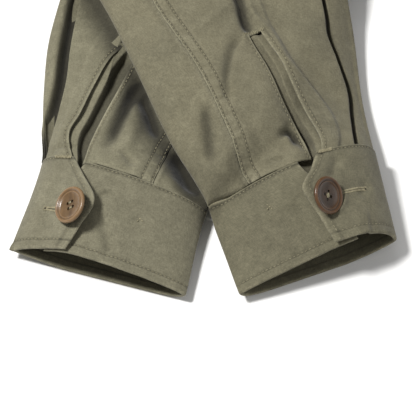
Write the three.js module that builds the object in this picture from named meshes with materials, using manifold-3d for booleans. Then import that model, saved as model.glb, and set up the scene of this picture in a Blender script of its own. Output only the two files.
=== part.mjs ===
// Cotton field jacket on its back, folded in half, with both sleeves crossed over the front.
// Millimetres, +Z up. The cuffs point along -Y, and the wearer's right sleeve lies on top.
// The origin is under the middle of the whole garment, on the surface that it lies on.

import * as THREE from "three";
import Module from "manifold-3d";

// Cloth and seams
const SLEEVE_WALL = 1.8;
const CUFF_WALL = 2.8;
const GUSSET_WALL = 1.5;
const FRONT_WALL = 2.0;
const COLLAR_WALL = 2.6;
const SEAM_GAP = 0.35;
const FELLED_STEP = 1.0;
const FELLED_WIDTH = 9.5;

// Sleeve and vent
const VENT_LENGTH = 100;
const VENT_LIP = 1.5;
const SHOULDER_FOLD_END = 13.5;
const CUFF_PROUD = 0.9;
const CURL_START = 0.35;
const PASSING_ROOM = 3.8;
const GUSSET_GAP = 0.7;

// Body, folded in half under itself
const BODY_HALF_WIDTH = 262;
const SHOULDER = { x: 215, y: 500 };
const UNDERARM = { x: 262, y: 266 };
const NECK_SIDE = { x: 80, y: 547 };
const FRONT_NECK_Y = 455;
const BACK_NECK_Y = 531;
const FOLD_CENTRE_Y = 217;
const FOLD_RADIUS = 12;
const HEM_Y = 490;
const HEM_HALF_WIDTH = 246;
const LAYER_SPLIT = 11.1;
const EDGE_ROLL = 12;
const EDGE_DROP = 5;
const FLY_LEFT = -20;
const FLY_MIDDLE = -3;
const FLY_RIGHT = 14;
const FLY_RAMP = 8;
const FLY_HOLLOW = { left: -32, right: 24 };
const FLY_PROUD = 3;
const FLY_SLOPE = { near: 24, far: 44 };
const SLEEVE_CLIMB = { start: 132, stop: 198 };

// Buttons
const CUFF_BUTTON_DIAMETER = 25.4;
const FRONT_BUTTON_DIAMETER = 23;
const BUTTON_THICKNESS = 4.2;
const BUTTON_HOLE_RADIUS = 1.15;
const BUTTON_HOLE_SPREAD = 2.6;
const SHANK_RADIUS = 1.9;
const SHANK_LENGTH = 3.8;
const BUTTON_DENT = 2.6;
const BUTTON_DENT_SHIFT = 0.25;

const COLOURS = {
  cotton: 0x7a7660,
  cuffCotton: 0x6f6c58,
  shadeCotton: 0x5f5c4b,
  button: 0x6a5340,
};

const radians = THREE.MathUtils.degToRad;
const lerp = THREE.MathUtils.lerp;
const ease = (from, to, x) => {
  const u = THREE.MathUtils.clamp((x - from) / (to - from), 0, 1);
  return u * u * (3 - 2 * u);
};

function table(columns, rows) {
  return rows.map((row) => Object.fromEntries(columns.map((name, i) => [name, row[i]])));
}

// Value of one column on a smooth curve through the rows, at a place along the knot column.
function through(rows, knot, column, at) {
  const last = rows.length - 1;
  let i = 0;
  while (i < last - 1 && at > rows[i + 1][knot]) i += 1;
  const slope = (k) => {
    const a = rows[Math.max(k - 1, 0)];
    const b = rows[Math.min(k + 1, last)];
    return (b[column] - a[column]) / (b[knot] - a[knot]);
  };
  const span = rows[i + 1][knot] - rows[i][knot];
  const u = THREE.MathUtils.clamp((at - rows[i][knot]) / span, 0, 1);
  const start = rows[i][column];
  const end = rows[i + 1][column];
  const bend = (2 * u - 3) * u * u;
  const leave = ((u - 2) * u + 1) * u * slope(i) * span;
  const arrive = (u - 1) * u * u * slope(i + 1) * span;
  return start * (1 + bend) - end * bend + leave + arrive;
}

// Both sleeves: plan places of the medial and the lateral side edge from the cuff's mouth to
// the armhole, height of those edges, rise of the crown above them, where the crown peaks, and
// how round its slope is to either side, from 0, straight, to 1, a full arch. Where curl is 1
// the underside also comes off the table along a straight slope on the lateral side.
const STATION = ["mx", "my", "lx", "ly", "edge", "rise", "peak", "medialRound", "lateralRound",
  "curl"];
const rightStations = table(STATION, [
  [20.7, -69.4, 124.7, -30.1, 11, 23, 0.5, 0, 0.5, 0.7],
  [0, -11.9, 111.3, 32.5, 12, 33, 0.12, 0.45, 1, 0.3],
  [-25, 30.2, 104, 73.9, 9, 26, 0.18, 0.8, 1, 0],
  [-48, 84.2, 97.5, 130.2, 8, 20, 0.25, 1, 1, 0],
  [-71.5, 138, 85.5, 179.5, 7, 17, 0.15, 1, 1, 0],
  [-97, 178, 64, 236, 6, 14, 0, 1, 1, 0],
  [-138, 214, 24, 298, 6, 12, 0, 1, 1, 0],
  [-182, 240, -45, 362, 6, 12, 0, 1, 1, 0],
  [-226, 258, -128, 428, 5, 11, 0, 1, 1, 0],
  [-262, 266, -215, 500, 5, 9, 0, 1, 1, 0],
]);
const leftStations = table(STATION, [
  [-14.7, -69.4, -130.7, -36.5, 9, 19, 0.36, 0.35, 0, 1],
  [-0.7, -8.3, -110, 28.3, 10, 22, 0.3, 0.75, 0.75, 0.4],
  [15, 17.7, -110.8, 56, 9, 19, 0.36, 0.2, 0.8, 0],
  [32.6, 43, -110.5, 86.4, 8, 17, 0.4, -0.3, 0.9, 0],
  [47, 73.4, -108, 120.6, 8, 16, 0.4, -0.4, 1, 0],
  [60.5, 101.4, -101, 150.4, 7, 15, 0.35, -0.4, 1, 0],
  [85, 140, -81.5, 200, 7, 14, 0.2, 0, 1, 0],
  [120, 180, -50, 262, 6, 12, 0, 0.6, 1, 0],
  [165, 218, 8, 330, 6, 12, 0, 1, 1, 0],
  [215, 247, 100, 410, 5, 11, 0, 1, 1, 0],
  [262, 266, 215, 500, 5, 9, 0, 1, 1, 0],
]);

// Lines along each sleeve, as places across it from -1, the medial side, to 1, the lateral
// side: the outer pleat, the inner pleat, the vent's flap edge, the vent's under edge and the
// felled seam. above is the distance above the cuff. The drops are the depths of the folds.
const LINE = ["above", "outer", "inner", "flap", "under", "seam", "outerDrop", "innerDrop",
  "ventDrop"];
const rightLines = table(LINE, [
  [0, 0.77, 0.545, 0.27, 0.1, -0.56, 4, 4, 8.5],
  [45, 0.85, 0.46, 0.34, 0.14, -0.54, 4.5, 4, 6],
  [85, 0.83, 0.33, 0.24, 0.13, -0.55, 4.5, 2.5, 3],
  [105, 0.8, 0.28, 0.17, 0.12, -0.6, 4, 1.5, 0.5],
  [200, 0.76, 0.28, 0.16, 0.05, -0.62, 2, 0, 0],
  [500, 0.7, 0.3, 0.16, 0, -0.5, 0, 0, 0],
]);
const leftLines = table(LINE, [
  [0, 0.95, 0.82, 0.65, 0.44, -0.35, 6, 1, 9],
  [40, 0.9, 0.78, 0.66, 0.4, -0.35, 7, 1, 7],
  [80, 0.83, 0.68, 0.52, 0.34, -0.35, 7, 1, 3.5],
  [105, 0.8, 0.6, 0.42, 0.3, -0.35, 6, 0.5, 0.5],
  [200, 0.76, 0.5, 0.3, 0.2, -0.35, 2, 0, 0],
  [520, 0.7, 0.4, 0.2, 0, -0.35, 0, 0, 0],
]);

// Cuff ends up the cuff's height, v from hem to top: the pointed tab's edge, the end of the
// underlap that it buttons over, and the tab's lift off the underlap.
const CUFF_END = ["v", "tab", "underlap", "lift"];
const rightCuffEnds = table(CUFF_END, [
  [0, 0.25, 0.5, 6],
  [0.35, 0.13, 0.42, 4.5],
  [0.66, 0.03, 0.3, 4],
  [0.82, 0.16, 0.14, 3],
  [1, 0.28, 0.05, 2],
]);
const leftCuffEnds = table(CUFF_END, [
  [0, 0.36, 0.62, 0.5],
  [0.3, 0.28, 0.6, 4.5],
  [0.56, 0.22, 0.58, 7.5],
  [0.8, 0.42, 0.55, 4],
  [1, 0.6, 0.47, 1],
]);

// The collar from the front edge round to the middle of the back neck: neck seam, roll, middle
// of the turned-down leaf and the leaf's edge.
const COLLAR = ["round", "nx", "ny", "nz", "rx", "ry", "rz", "mx", "my", "mz", "ex", "ey", "ez"];
const collarStations = table(COLLAR, [
  [0, 14, 452, 28.6, 15, 459, 33.5, 36, 440, 31, 58, 418, 28.5],
  [60, 52, 478, 27, 50, 487, 34, 74, 470, 32, 100, 448, 27.5],
  [110, 72, 520, 26.8, 70, 530, 36, 98, 518, 33, 128, 500, 27.5],
  [127, 74, 537, 26.4, 72, 548, 36, 101, 543, 33.5, 130, 534, 28],
  [142, 73, 549, 24, 71, 561, 35, 100, 565, 32, 125, 558, 17],
  [170, 58, 545, 18, 56, 573, 34, 84, 587, 22, 98, 564, 5],
  [215, 28, 537, 17, 26, 572, 32, 36, 588, 20, 44, 545, 4.6],
  [245, 0, 535, 16.5, 0, 572, 31, 0, 586, 19, 0, 538, 4.6],
]);

function measure(stations) {
  const middle = (row) => new THREE.Vector2((row.mx + row.lx) / 2, (row.my + row.ly) / 2);
  let along = 0;
  stations.forEach((row, i) => {
    if (i > 0) along += middle(row).distanceTo(middle(stations[i - 1]));
    row.along = along;
  });
  return along;
}

// Height of the folded body under a place, with the button fly along its middle.
function bodyTop(x, y) {
  const fly = FLY_PROUD * (1 - ease(FLY_SLOPE.near, FLY_SLOPE.far, Math.abs(x)));
  return (2 * FOLD_RADIUS + SEAM_GAP + fly) * ease(SLEEVE_CLIMB.start, SLEEVE_CLIMB.stop, y);
}

// Cuff buttons: places across and up the cuff, and tilts from upright to the side in degrees.
const cuffButtons = { left: { s: 0.36, v: 0.42, tilt: -38 }, right: { s: 0.27, v: 0.5, tilt: 36 } };

class Sleeve {
  constructor(side, stations, lines, cuffEnds) {
    this.side = side;
    this.button = cuffButtons[side];
    this.stations = stations;
    this.lines = lines;
    this.cuffEnds = cuffEnds;
    this.length = measure(stations);
    this.cuffHeight = stations[1].along;
    this.below = bodyTop;
  }

  at(along, column) {
    return through(this.stations, "along", column, along);
  }

  line(along, column) {
    return through(this.lines, "above", column, along - this.cuffHeight);
  }

  plan(s, along) {
    const u = (s + 1) / 2;
    const x = lerp(this.at(along, "mx"), this.at(along, "lx"), u);
    const y = lerp(this.at(along, "my"), this.at(along, "ly"), u);
    return new THREE.Vector2(x, y);
  }

  half(along) {
    return this.plan(1, along).distanceTo(this.plan(-1, along)) / 2;
  }

  // Distance down a slope of the crown, 0 at its peak and 1 at the side edge.
  slope(s, along) {
    const peak = this.at(along, "peak");
    return s > peak ? (s - peak) / (1 - peak) : (peak - s) / (1 + peak);
  }

  // Height of the crown across the sleeve, 1 at its peak and 0 at the side edges.
  bump(s, along) {
    const lateral = s > this.at(along, "peak");
    const round = this.at(along, lateral ? "lateralRound" : "medialRound");
    const down = Math.min(this.slope(s, along), 1);
    return (1 - down ** lerp(1.15, 2.4, round)) ** lerp(0.9, 0.5, round);
  }

  // Height of the underside, 0 where it rests and 1 at the side edges.
  underside(s, along) {
    const curl = s > CURL_START ? this.at(along, "curl") : 0;
    const straight = curl > 0 ? ((s - CURL_START) / (1 - CURL_START)) ** 1.3 : 0;
    return lerp(1 - Math.sqrt(1 - Math.abs(s) ** 6), straight, curl);
  }

  // Folds of the crown, as heights above the plain crown.
  fold(s, along) {
    const half = this.half(along);
    const away = (column) => (s - this.line(along, column)) * half;
    const above = along - this.cuffHeight;
    const outer = -this.line(along, "outerDrop") * ease(-1, 2.5, away("outer"));
    const inner = -this.line(along, "innerDrop") * ease(0, 3, away("inner"))
      * (1 - ease(4, 26, away("inner")));
    const fromFlap = away("flap");
    const inVent = -this.line(along, "ventDrop") * ease(-20, -2, fromFlap)
      * (1 - ease(-1.5, 0.5, fromFlap));
    const lip = VENT_LIP * ease(-1.5, 0.5, fromFlap) * (1 - ease(2, 16, fromFlap))
      * (1 - ease(VENT_LENGTH - 20, VENT_LENGTH + 10, above));
    const fromSeam = away("seam");
    const felled = FELLED_STEP * ease(-1, 0, fromSeam)
      * (1 - ease(FELLED_WIDTH, FELLED_WIDTH + 12, fromSeam));
    const side = 1 - ease(0.96, 1, Math.abs(s));
    return (outer + inner + inVent + lip + felled) * side;
  }

  // Lowest fold within a reach to either side, so that an inner face never crosses an outer.
  foldUnder(s, along, reach) {
    const step = reach / this.half(along);
    const places = [-1, -0.5, 0, 0.5, 1].map((k) => THREE.MathUtils.clamp(s + k * step, -1, 1));
    return Math.min(...places.map((place) => this.fold(place, along)));
  }

  // Plain form without folds, round the sleeve by angle: 0 lateral, 90 top, 180 medial.
  plain(angle, along) {
    const s = Math.cos(angle);
    const place = this.plan(s, along);
    const edge = this.at(along, "edge");
    const up = Math.sin(angle) >= 0
      ? edge + this.at(along, "rise") * this.bump(s, along)
      : edge * this.underside(s, along);
    return new THREE.Vector3(place.x, place.y, this.below(place.x, place.y) + up);
  }

  // Direction out of the sleeve within its cross section.
  outward(angle, along) {
    const turn = 0.02;
    const round = this.plain(angle + turn, along).sub(this.plain(angle - turn, along));
    const across = this.plan(1, along).sub(this.plan(-1, along));
    return new THREE.Vector3(-across.y, across.x, 0).cross(round).normalize();
  }

  point(angle, along, depth, reach) {
    const base = this.plain(angle, along).addScaledVector(this.outward(angle, along), -depth);
    if (Math.sin(angle) > 0) base.z += this.foldUnder(Math.cos(angle), along, reach);
    return base;
  }

  // Rows past the armhole line, where the top layer turns down round the shoulder fold.
  turned(angle, turn, depth) {
    const base = this.point(angle, this.length, depth, depth > 0 ? 3 : 0);
    const top = ease(0, 0.9, Math.sin(angle));
    const arc = Math.PI * turn * top;
    const drop = (base.z - SHOULDER_FOLD_END - depth) / 2;
    const reach = drop * Math.sin(arc) + 1.2 * turn * (1 - top);
    const sign = this.side === "right" ? -1 : 1;
    base.x += sign * 0.98 * reach;
    base.y += 0.197 * reach;
    base.z -= drop * (1 - Math.cos(arc));
    return base;
  }

  // Height above the floor that another sleeve needs to pass over this one, with some room.
  hill(x, y) {
    const found = this.locate(x, y);
    const base = bodyTop(x, y);
    if (!found) return base;
    const { along, s } = found;
    const reach = lerp(1.5, 1.2, 1 - ease(60, 150, along));
    const edge = this.at(along, "edge") * (1 - ease(0.95, reach, Math.abs(s)));
    const crown = this.at(along, "rise") * (1 - ease(0.2, reach, this.slope(s, along)));
    const room = PASSING_ROOM * (1 - ease(1, 1.3, Math.abs(s)));
    return base + (edge + crown + room) * ease(-25, 10, along);
  }

  locate(x, y) {
    const side = (along) => {
      const m = this.plan(-1, along);
      const l = this.plan(1, along);
      return (l.x - m.x) * (y - m.y) - (l.y - m.y) * (x - m.x);
    };
    const sign = this.side === "right" ? 1 : -1;
    const steps = 60;
    let low = 0;
    if (sign * side(0) < 0) return this.before(x, y);
    for (let i = 1; i <= steps; i += 1) {
      const high = (this.length * i) / steps;
      if (sign * side(high) < 0) {
        let a = low;
        let b = high;
        for (let k = 0; k < 18; k += 1) {
          const mid = (a + b) / 2;
          if (sign * side(mid) < 0) b = mid;
          else a = mid;
        }
        return { along: a, s: this.across(x, y, a) };
      }
      low = high;
    }
    return null;
  }

  across(x, y, along) {
    const m = this.plan(-1, along);
    const l = this.plan(1, along);
    const span = l.clone().sub(m);
    return (2 * new THREE.Vector2(x, y).sub(m).dot(span)) / span.lengthSq() - 1;
  }

  before(x, y) {
    const m = this.plan(-1, 0);
    const span = this.plan(1, 0).sub(m);
    const off = Math.abs(span.x * (y - m.y) - span.y * (x - m.x)) / span.length();
    return { along: -off, s: this.across(x, y, 0) };
  }
}

// A closed wall of cloth between an outer and an inner grid of points. Cells for which keep is
// false are left open, and every free edge gets a rim.
function wall(outer, inner, keep = () => true) {
  const rows = outer.length;
  const columns = outer[0].length;
  const positions = [];
  const index = [];
  const number = (layer, i, j) => layer * rows * columns + i * columns + j;
  for (const grid of [outer, inner]) {
    for (const row of grid) for (const p of row) positions.push(p.x, p.y, p.z);
  }
  const quad = (a, b, c, d) => index.push(a, b, c, a, c, d);
  const solid = (i, j) => i >= 0 && j >= 0 && i < rows - 1 && j < columns - 1 && keep(i, j);
  for (let i = 0; i < rows - 1; i += 1) {
    for (let j = 0; j < columns - 1; j += 1) {
      if (!solid(i, j)) continue;
      quad(number(0, i, j), number(0, i, j + 1), number(0, i + 1, j + 1), number(0, i + 1, j));
      quad(number(1, i, j), number(1, i + 1, j), number(1, i + 1, j + 1), number(1, i, j + 1));
      const rim = (i0, j0, i1, j1) => {
        quad(number(0, i0, j0), number(1, i0, j0), number(1, i1, j1), number(0, i1, j1));
      };
      if (!solid(i - 1, j)) rim(i, j, i, j + 1);
      if (!solid(i + 1, j)) rim(i + 1, j + 1, i + 1, j);
      if (!solid(i, j - 1)) rim(i + 1, j, i, j);
      if (!solid(i, j + 1)) rim(i, j + 1, i + 1, j + 1);
    }
  }
  return closed(positions, index);
}

// Drops unused points and turns the faces outward.
function closed(positions, index) {
  const used = new Map();
  const kept = [];
  const faces = index.map((old) => {
    if (!used.has(old)) {
      used.set(old, used.size);
      kept.push(...positions.slice(3 * old, 3 * old + 3));
    }
    return used.get(old);
  });
  let volume = 0;
  const corner = (k) => new THREE.Vector3(...kept.slice(3 * k, 3 * k + 3));
  for (let i = 0; i < faces.length; i += 3) {
    volume += corner(faces[i]).dot(corner(faces[i + 1]).cross(corner(faces[i + 2])));
  }
  if (volume < 0) faces.reverse();
  const geometry = new THREE.BufferGeometry();
  geometry.setAttribute("position", new THREE.Float32BufferAttribute(kept, 3));
  geometry.setIndex(faces);
  return geometry;
}

const grid = (rows, columns, place) => rows.map((r) => columns.map((c) => place(r, c)));

// Values from one end to the other in equal steps, both ends kept.
function spaced(from, to, steps) {
  return Array.from({ length: steps + 1 }, (_, i) => lerp(from, to, i / steps));
}

// Angles round the sleeve through its fold lines, with a number of cells between each two.
function columnsBetween(anchors) {
  const list = [{ from: anchors[0], to: anchors[0], part: 0 }];
  for (let k = 1; k < anchors.length; k += 1) {
    const { cells = 1 } = anchors[k];
    for (let i = 1; i <= cells; i += 1) {
      list.push({ from: anchors[k - 1], to: anchors[k], part: i / cells });
    }
  }
  return list;
}

function topColumns(sleeve) {
  const at = (column, shift = 0) => (along) => {
    const s = sleeve.line(along, column) + shift / sleeve.half(along);
    return Math.acos(THREE.MathUtils.clamp(s, -0.999, 0.985));
  };
  return columnsBetween([
    { angle: () => radians(-70) },
    { angle: () => 0, cells: 4 },
    { angle: at("outer", 2.5), cells: 2 },
    { angle: at("outer", -1) },
    { angle: at("inner", 3), cells: 2 },
    { angle: at("inner", 0) },
    { angle: at("flap", 0), cells: 2 },
    { angle: at("under", 0), vent: true },
    { angle: at("under", -10) },
    { angle: at("seam", FELLED_WIDTH + 6), cells: 3 },
    { angle: at("seam", FELLED_WIDTH) },
    { angle: at("seam", SEAM_GAP) },
  ]);
}

function underColumns(sleeve) {
  const seam = (along) => Math.acos(sleeve.line(along, "seam") - 0.6 * SEAM_GAP / sleeve.half(along));
  return columnsBetween([
    { angle: seam },
    { angle: () => Math.PI, cells: 5 },
    { angle: () => radians(290) - 0.006, cells: 5 },
  ]);
}

const angleOf = (column, along) => lerp(column.from.angle(along), column.to.angle(along), column.part);

function sleeveRows(sleeve) {
  const start = sleeve.cuffHeight + SEAM_GAP;
  const ventTop = sleeve.cuffHeight + VENT_LENGTH;
  return [
    ...spaced(start, ventTop, 8),
    ...spaced(ventTop, sleeve.length, 12).slice(1),
  ].map((along) => ({ along, turn: 0 }));
}

function sleeveWall(sleeve, columns, keep) {
  const turns = spaced(0, 1, 5).slice(1).map((turn) => ({ along: sleeve.length, turn }));
  const rows = [...sleeveRows(sleeve), ...turns];
  const face = (depth) => (row, column) => {
    const angle = angleOf(column, row.along);
    if (row.turn > 0) return sleeve.turned(angle, row.turn, depth);
    return sleeve.point(angle, row.along, depth, depth > 0 ? 3 : 0);
  };
  const open = (i, j) => keep(rows[i], columns[j + 1]);
  return wall(grid(rows, columns, face(0)), grid(rows, columns, face(SLEEVE_WALL)), open);
}

function topSleeve(sleeve) {
  const ventTop = sleeve.cuffHeight + VENT_LENGTH - 1;
  const columns = topColumns(sleeve);
  return sleeveWall(sleeve, columns, (row, column) => !column.to.vent || row.along > ventTop);
}

function underSleeve(sleeve) {
  return sleeveWall(sleeve, underColumns(sleeve), () => true);
}

// The gusset fills the vent from below, a wall's thickness under the sleeve.
function ventGusset(sleeve) {
  const start = sleeve.cuffHeight + SEAM_GAP;
  const rows = spaced(start, sleeve.cuffHeight + VENT_LENGTH + 8, 8);
  const across = spaced(0, 1, 6);
  const face = (depth, reach) => (along, u) => {
    const half = sleeve.half(along);
    const from = sleeve.line(along, "flap") + 9 / half;
    const to = sleeve.line(along, "under") - 9 / half;
    return sleeve.point(Math.acos(lerp(from, to, u)), along, depth, reach);
  };
  const top = SLEEVE_WALL + GUSSET_GAP;
  return wall(grid(rows, across, face(top, 9)), grid(rows, across, face(top + GUSSET_WALL, 12)));
}

// The cuff is one strip from the underlap's end round the medial side, under the wrist and over
// the lateral side to the edge of the pointed tab.
class Cuff {
  constructor(sleeve) {
    this.sleeve = sleeve;
  }

  end(v, column) {
    return through(this.sleeve.cuffEnds, "v", column, v);
  }

  tabAngle(v) {
    return 2 * Math.PI + Math.acos(this.end(v, "tab"));
  }

  lap(angle, v) {
    const start = 2 * Math.PI;
    const full = start + 0.8;
    const over = (CUFF_WALL + SEAM_GAP) * ease(start - 0.2, full, angle);
    const tip = THREE.MathUtils.clamp((angle - full) / (this.tabAngle(v) - full), 0, 1);
    const { s, v: level } = this.sleeve.button;
    const across = (Math.cos(angle) - s - BUTTON_DENT_SHIFT) / BUTTON_DENT_SHIFT;
    const up = (v - level) / BUTTON_DENT_SHIFT;
    const dent = angle > start ? BUTTON_DENT * Math.exp(-2 * across * across - up * up) : 0;
    return over + this.end(v, "lift") * tip ** 1.4 - dent;
  }

  point(angle, v, depth) {
    const { sleeve } = this;
    const along = v * sleeve.cuffHeight;
    const out = this.lap(angle, v) + CUFF_PROUD * (Math.sin(angle) > 0 ? Math.sin(angle) : 0) - depth;
    return sleeve.plain(angle, along).addScaledVector(sleeve.outward(angle, along), out);
  }

  // Direction out of the outer face, with the tab's own tilt.
  outward(angle, v) {
    const round = this.point(angle + 0.05, v, 0).sub(this.point(angle - 0.05, v, 0));
    const up = this.point(angle, v + 0.05, 0).sub(this.point(angle, v - 0.05, 0));
    const normal = up.cross(round).normalize();
    return normal.z > 0 ? normal : normal.negate();
  }

  geometry() {
    const rows = spaced(0, 1, 6);
    const across = spaced(0, 1, 38);
    const face = (depth) => (v, u) => {
      const angle = lerp(Math.acos(this.end(v, "underlap")), this.tabAngle(v), u);
      return this.point(angle, v, depth);
    };
    return wall(grid(rows, across, face(0)), grid(rows, across, face(CUFF_WALL)));
  }
}

// Body

// Upper boundary of the front or back at a distance from the middle.
function topLine(x, neckY) {
  const off = Math.abs(x);
  if (off < NECK_SIDE.x) {
    return lerp(neckY, NECK_SIDE.y, (1 - Math.cos((off / NECK_SIDE.x) * Math.PI / 2)));
  }
  if (off < SHOULDER.x) {
    return lerp(NECK_SIDE.y, SHOULDER.y, (off - NECK_SIDE.x) / (SHOULDER.x - NECK_SIDE.x));
  }
  return lerp(SHOULDER.y, UNDERARM.y, (off - SHOULDER.x) / (UNDERARM.x - SHOULDER.x));
}

// Places along the folded body: down the chest, round the fold and along under the body.
function bodyStops() {
  const chest = spaced(1, 0, 6).map((up) => ({ up }));
  const turn = spaced(0, 1, 6).slice(1).map((round) => ({ round }));
  const under = spaced(0, 1, 4).slice(1).map((down) => ({ down }));
  return [...chest, ...turn, ...under];
}

// How far a side edge rolls towards the middle of its package, less and less up the chest.
function sideRoll(fromSide, up = 0) {
  const near = THREE.MathUtils.clamp(1 - fromSide / EDGE_ROLL, 0, 1);
  return EDGE_DROP * near * near * (1 - ease(0.3, 0.85, up));
}

// A point of the body at x, at a stop of the path, a depth below the outer face.
function bodyPoint(x, stop, depth, neckY, trim = 0) {
  const side = BODY_HALF_WIDTH;
  if (stop.up !== undefined) {
    const y = lerp(FOLD_CENTRE_Y, topLine(x, neckY) - trim, stop.up);
    const z = 2 * FOLD_RADIUS - depth - sideRoll(side - Math.abs(x), stop.up);
    return new THREE.Vector3(x, y, z);
  }
  if (stop.round !== undefined) {
    const angle = Math.PI * stop.round;
    const roll = sideRoll(side - Math.abs(x));
    const radius = FOLD_RADIUS - depth;
    const y = FOLD_CENTRE_Y - radius * Math.sin(angle);
    return new THREE.Vector3(x, y, FOLD_RADIUS + (radius - roll) * Math.cos(angle));
  }
  const y = lerp(FOLD_CENTRE_Y, HEM_Y - trim, stop.down);
  const narrow = lerp(1, HEM_HALF_WIDTH / side, stop.down);
  return new THREE.Vector3(x * narrow, y, depth + sideRoll(side - Math.abs(x)));
}

// Share of the way from the chest, 1, to the underside, 0.
function topShare(stop) {
  if (stop.up !== undefined) return 1;
  return stop.round !== undefined ? (1 + Math.cos(Math.PI * stop.round)) / 2 : 0;
}

// One front, from its edge in the middle to the side seam. The left one laps over the right.
function front(side) {
  const sign = side === "left" ? 1 : -1;
  const lap = FRONT_WALL + SEAM_GAP;
  const stops = bodyStops();
  const inner = side === "left"
    ? [FLY_LEFT, FLY_MIDDLE, FLY_RIGHT + 1, FLY_RIGHT + 1 + FLY_RAMP]
    : [FLY_RIGHT, FLY_MIDDLE, FLY_LEFT - 1, FLY_LEFT - 1 - FLY_RAMP];
  const outer = [50, 80, 115, 150, 185, 215, 235, 250, 257, 261.6].map((x) => sign * x);
  const columns = [...inner, ...outer];
  const face = (depth) => (stop, x) => {
    const past = side === "left" ? FLY_RIGHT + 1 - x : x - FLY_LEFT + 1;
    const lapping = ease(-FLY_RAMP, 0, past);
    const share = topShare(stop);
    const shift = side === "left" ? lap * share : -lap * (1 - share);
    return bodyPoint(x, stop, depth - shift * lapping, FRONT_NECK_Y);
  };
  return wall(grid(stops, columns, face(0)), grid(stops, columns, face(FRONT_WALL)));
}

// The back and the hidden layers as one solid, in sections across the body: the upper package,
// the fold and the lower package, with a slit between the two.
function back() {
  const side = BODY_HALF_WIDTH - FRONT_WALL - SEAM_GAP;
  const half = [0, 13, 23, 31, 50, 80, 115, 150, 185, 215, 235, 250, 257, side];
  const columns = [...half.slice(1).reverse().map((x) => -x), ...half];
  const stops = bodyStops();
  const sections = columns.map((x) => {
    const lap = FRONT_WALL + SEAM_GAP;
    const fly = x > FLY_HOLLOW.left && x < FLY_HOLLOW.right ? lap : 0;
    const clear = 0.5 * ease(EDGE_ROLL + 2, EDGE_ROLL / 3, BODY_HALF_WIDTH - Math.abs(x));
    const outside = stops.map((stop) => {
      const depth = lap + clear + fly * (1 - topShare(stop));
      return bodyPoint(x, stop, depth, BACK_NECK_Y, 1);
    });
    const roll = sideRoll(BODY_HALF_WIDTH - Math.abs(x));
    const slit = SEAM_GAP / 2 + 0.05;
    const inside = [
      { stop: { down: 1 }, z: LAYER_SPLIT - slit - roll },
      { stop: { down: 0.5 }, z: LAYER_SPLIT - slit - roll },
      { stop: { down: 0.03 }, z: LAYER_SPLIT - slit },
      { stop: { up: 0.03 }, z: LAYER_SPLIT + slit },
      { stop: { up: 0.5 }, z: LAYER_SPLIT + slit + roll * 0.9 },
      { stop: { up: 1 }, z: LAYER_SPLIT + slit },
    ].map(({ stop, z }) => bodyPoint(x, stop, 0, BACK_NECK_Y, 1).setZ(z));
    return [...outside, ...inside];
  });
  return loft(sections);
}

// A closed solid through closed sections, capped at both ends.
function loft(sections) {
  const count = sections[0].length;
  const positions = [];
  const index = [];
  for (const section of sections) for (const p of section) positions.push(p.x, p.y, p.z);
  for (let i = 0; i < sections.length - 1; i += 1) {
    for (let j = 0; j < count; j += 1) {
      const k = (j + 1) % count;
      const a = i * count + j;
      const b = i * count + k;
      index.push(a, b, b + count, a, b + count, a + count);
    }
  }
  const caps = [[0, true], [sections.length - 1, false]];
  for (const [i, flip] of caps) {
    const outline = sections[i].map((p) => new THREE.Vector2(p.y, p.z));
    for (const [a, b, c] of THREE.ShapeUtils.triangulateShape(outline, [])) {
      const face = [a, b, c].map((k) => i * count + k);
      if (flip) face.reverse();
      index.push(...face);
    }
  }
  return closed(positions, index);
}

// The collar, one turned-down sheet round the neck.
function collar() {
  const last = collarStations[collarStations.length - 1].round;
  const halfWay = spaced(0, last, 12);
  const stops = [...halfWay, ...halfWay.slice(0, -1).reverse().map((round) => 2 * last - round)];
  const across = spaced(0, 3, 9);
  const middle = (round, u) => {
    const mirrored = round > last;
    const at = mirrored ? 2 * last - round : round;
    const corner = ["n", "r", "m", "e"].map((name, knot) => {
      const value = (axis) => through(collarStations, "round", name + axis, at);
      return { knot, x: value("x"), y: value("y"), z: value("z") };
    });
    const value = (axis) => through(corner, "knot", axis, u);
    return new THREE.Vector3(mirrored ? -value("x") : value("x"), value("y"), value("z"));
  };
  const face = (out) => (round, u) => {
    const e = 0.04;
    const along = middle(Math.min(round + 1, 2 * last), u).sub(middle(Math.max(round - 1, 0), u));
    const over = middle(round, Math.min(u + e, 3)).sub(middle(round, Math.max(u - e, 0)));
    const normal = along.cross(over).normalize();
    return middle(round, u).addScaledVector(normal, out);
  };
  return wall(grid(stops, across, face(COLLAR_WALL / 2)), grid(stops, across, face(-COLLAR_WALL / 2)));
}

// Buttons

const wasm = await Module();
wasm.setup();

function solidOf(geometry) {
  const position = geometry.getAttribute("position");
  const key = (i) => [position.getX(i), position.getY(i), position.getZ(i)]
    .map((value) => Math.round(value * 1e4)).join();
  const numbers = new Map();
  const vertices = [];
  const number = (i) => {
    if (!numbers.has(key(i))) {
      numbers.set(key(i), numbers.size);
      vertices.push(position.getX(i), position.getY(i), position.getZ(i));
    }
    return numbers.get(key(i));
  };
  const source = Array.from(geometry.index.array);
  const faces = [];
  for (let i = 0; i < source.length; i += 3) {
    const face = source.slice(i, i + 3).map(number);
    if (new Set(face).size === 3) faces.push(...face);
  }
  return new wasm.Manifold(new wasm.Mesh({
    numProp: 3,
    vertProperties: new Float32Array(vertices),
    triVerts: new Uint32Array(faces),
  }));
}

function geometryOf(manifold) {
  const mesh = manifold.getMesh();
  const geometry = new THREE.BufferGeometry();
  geometry.setAttribute("position", new THREE.Float32BufferAttribute(mesh.vertProperties, 3));
  geometry.setIndex(Array.from(mesh.triVerts));
  return geometry;
}

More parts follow.
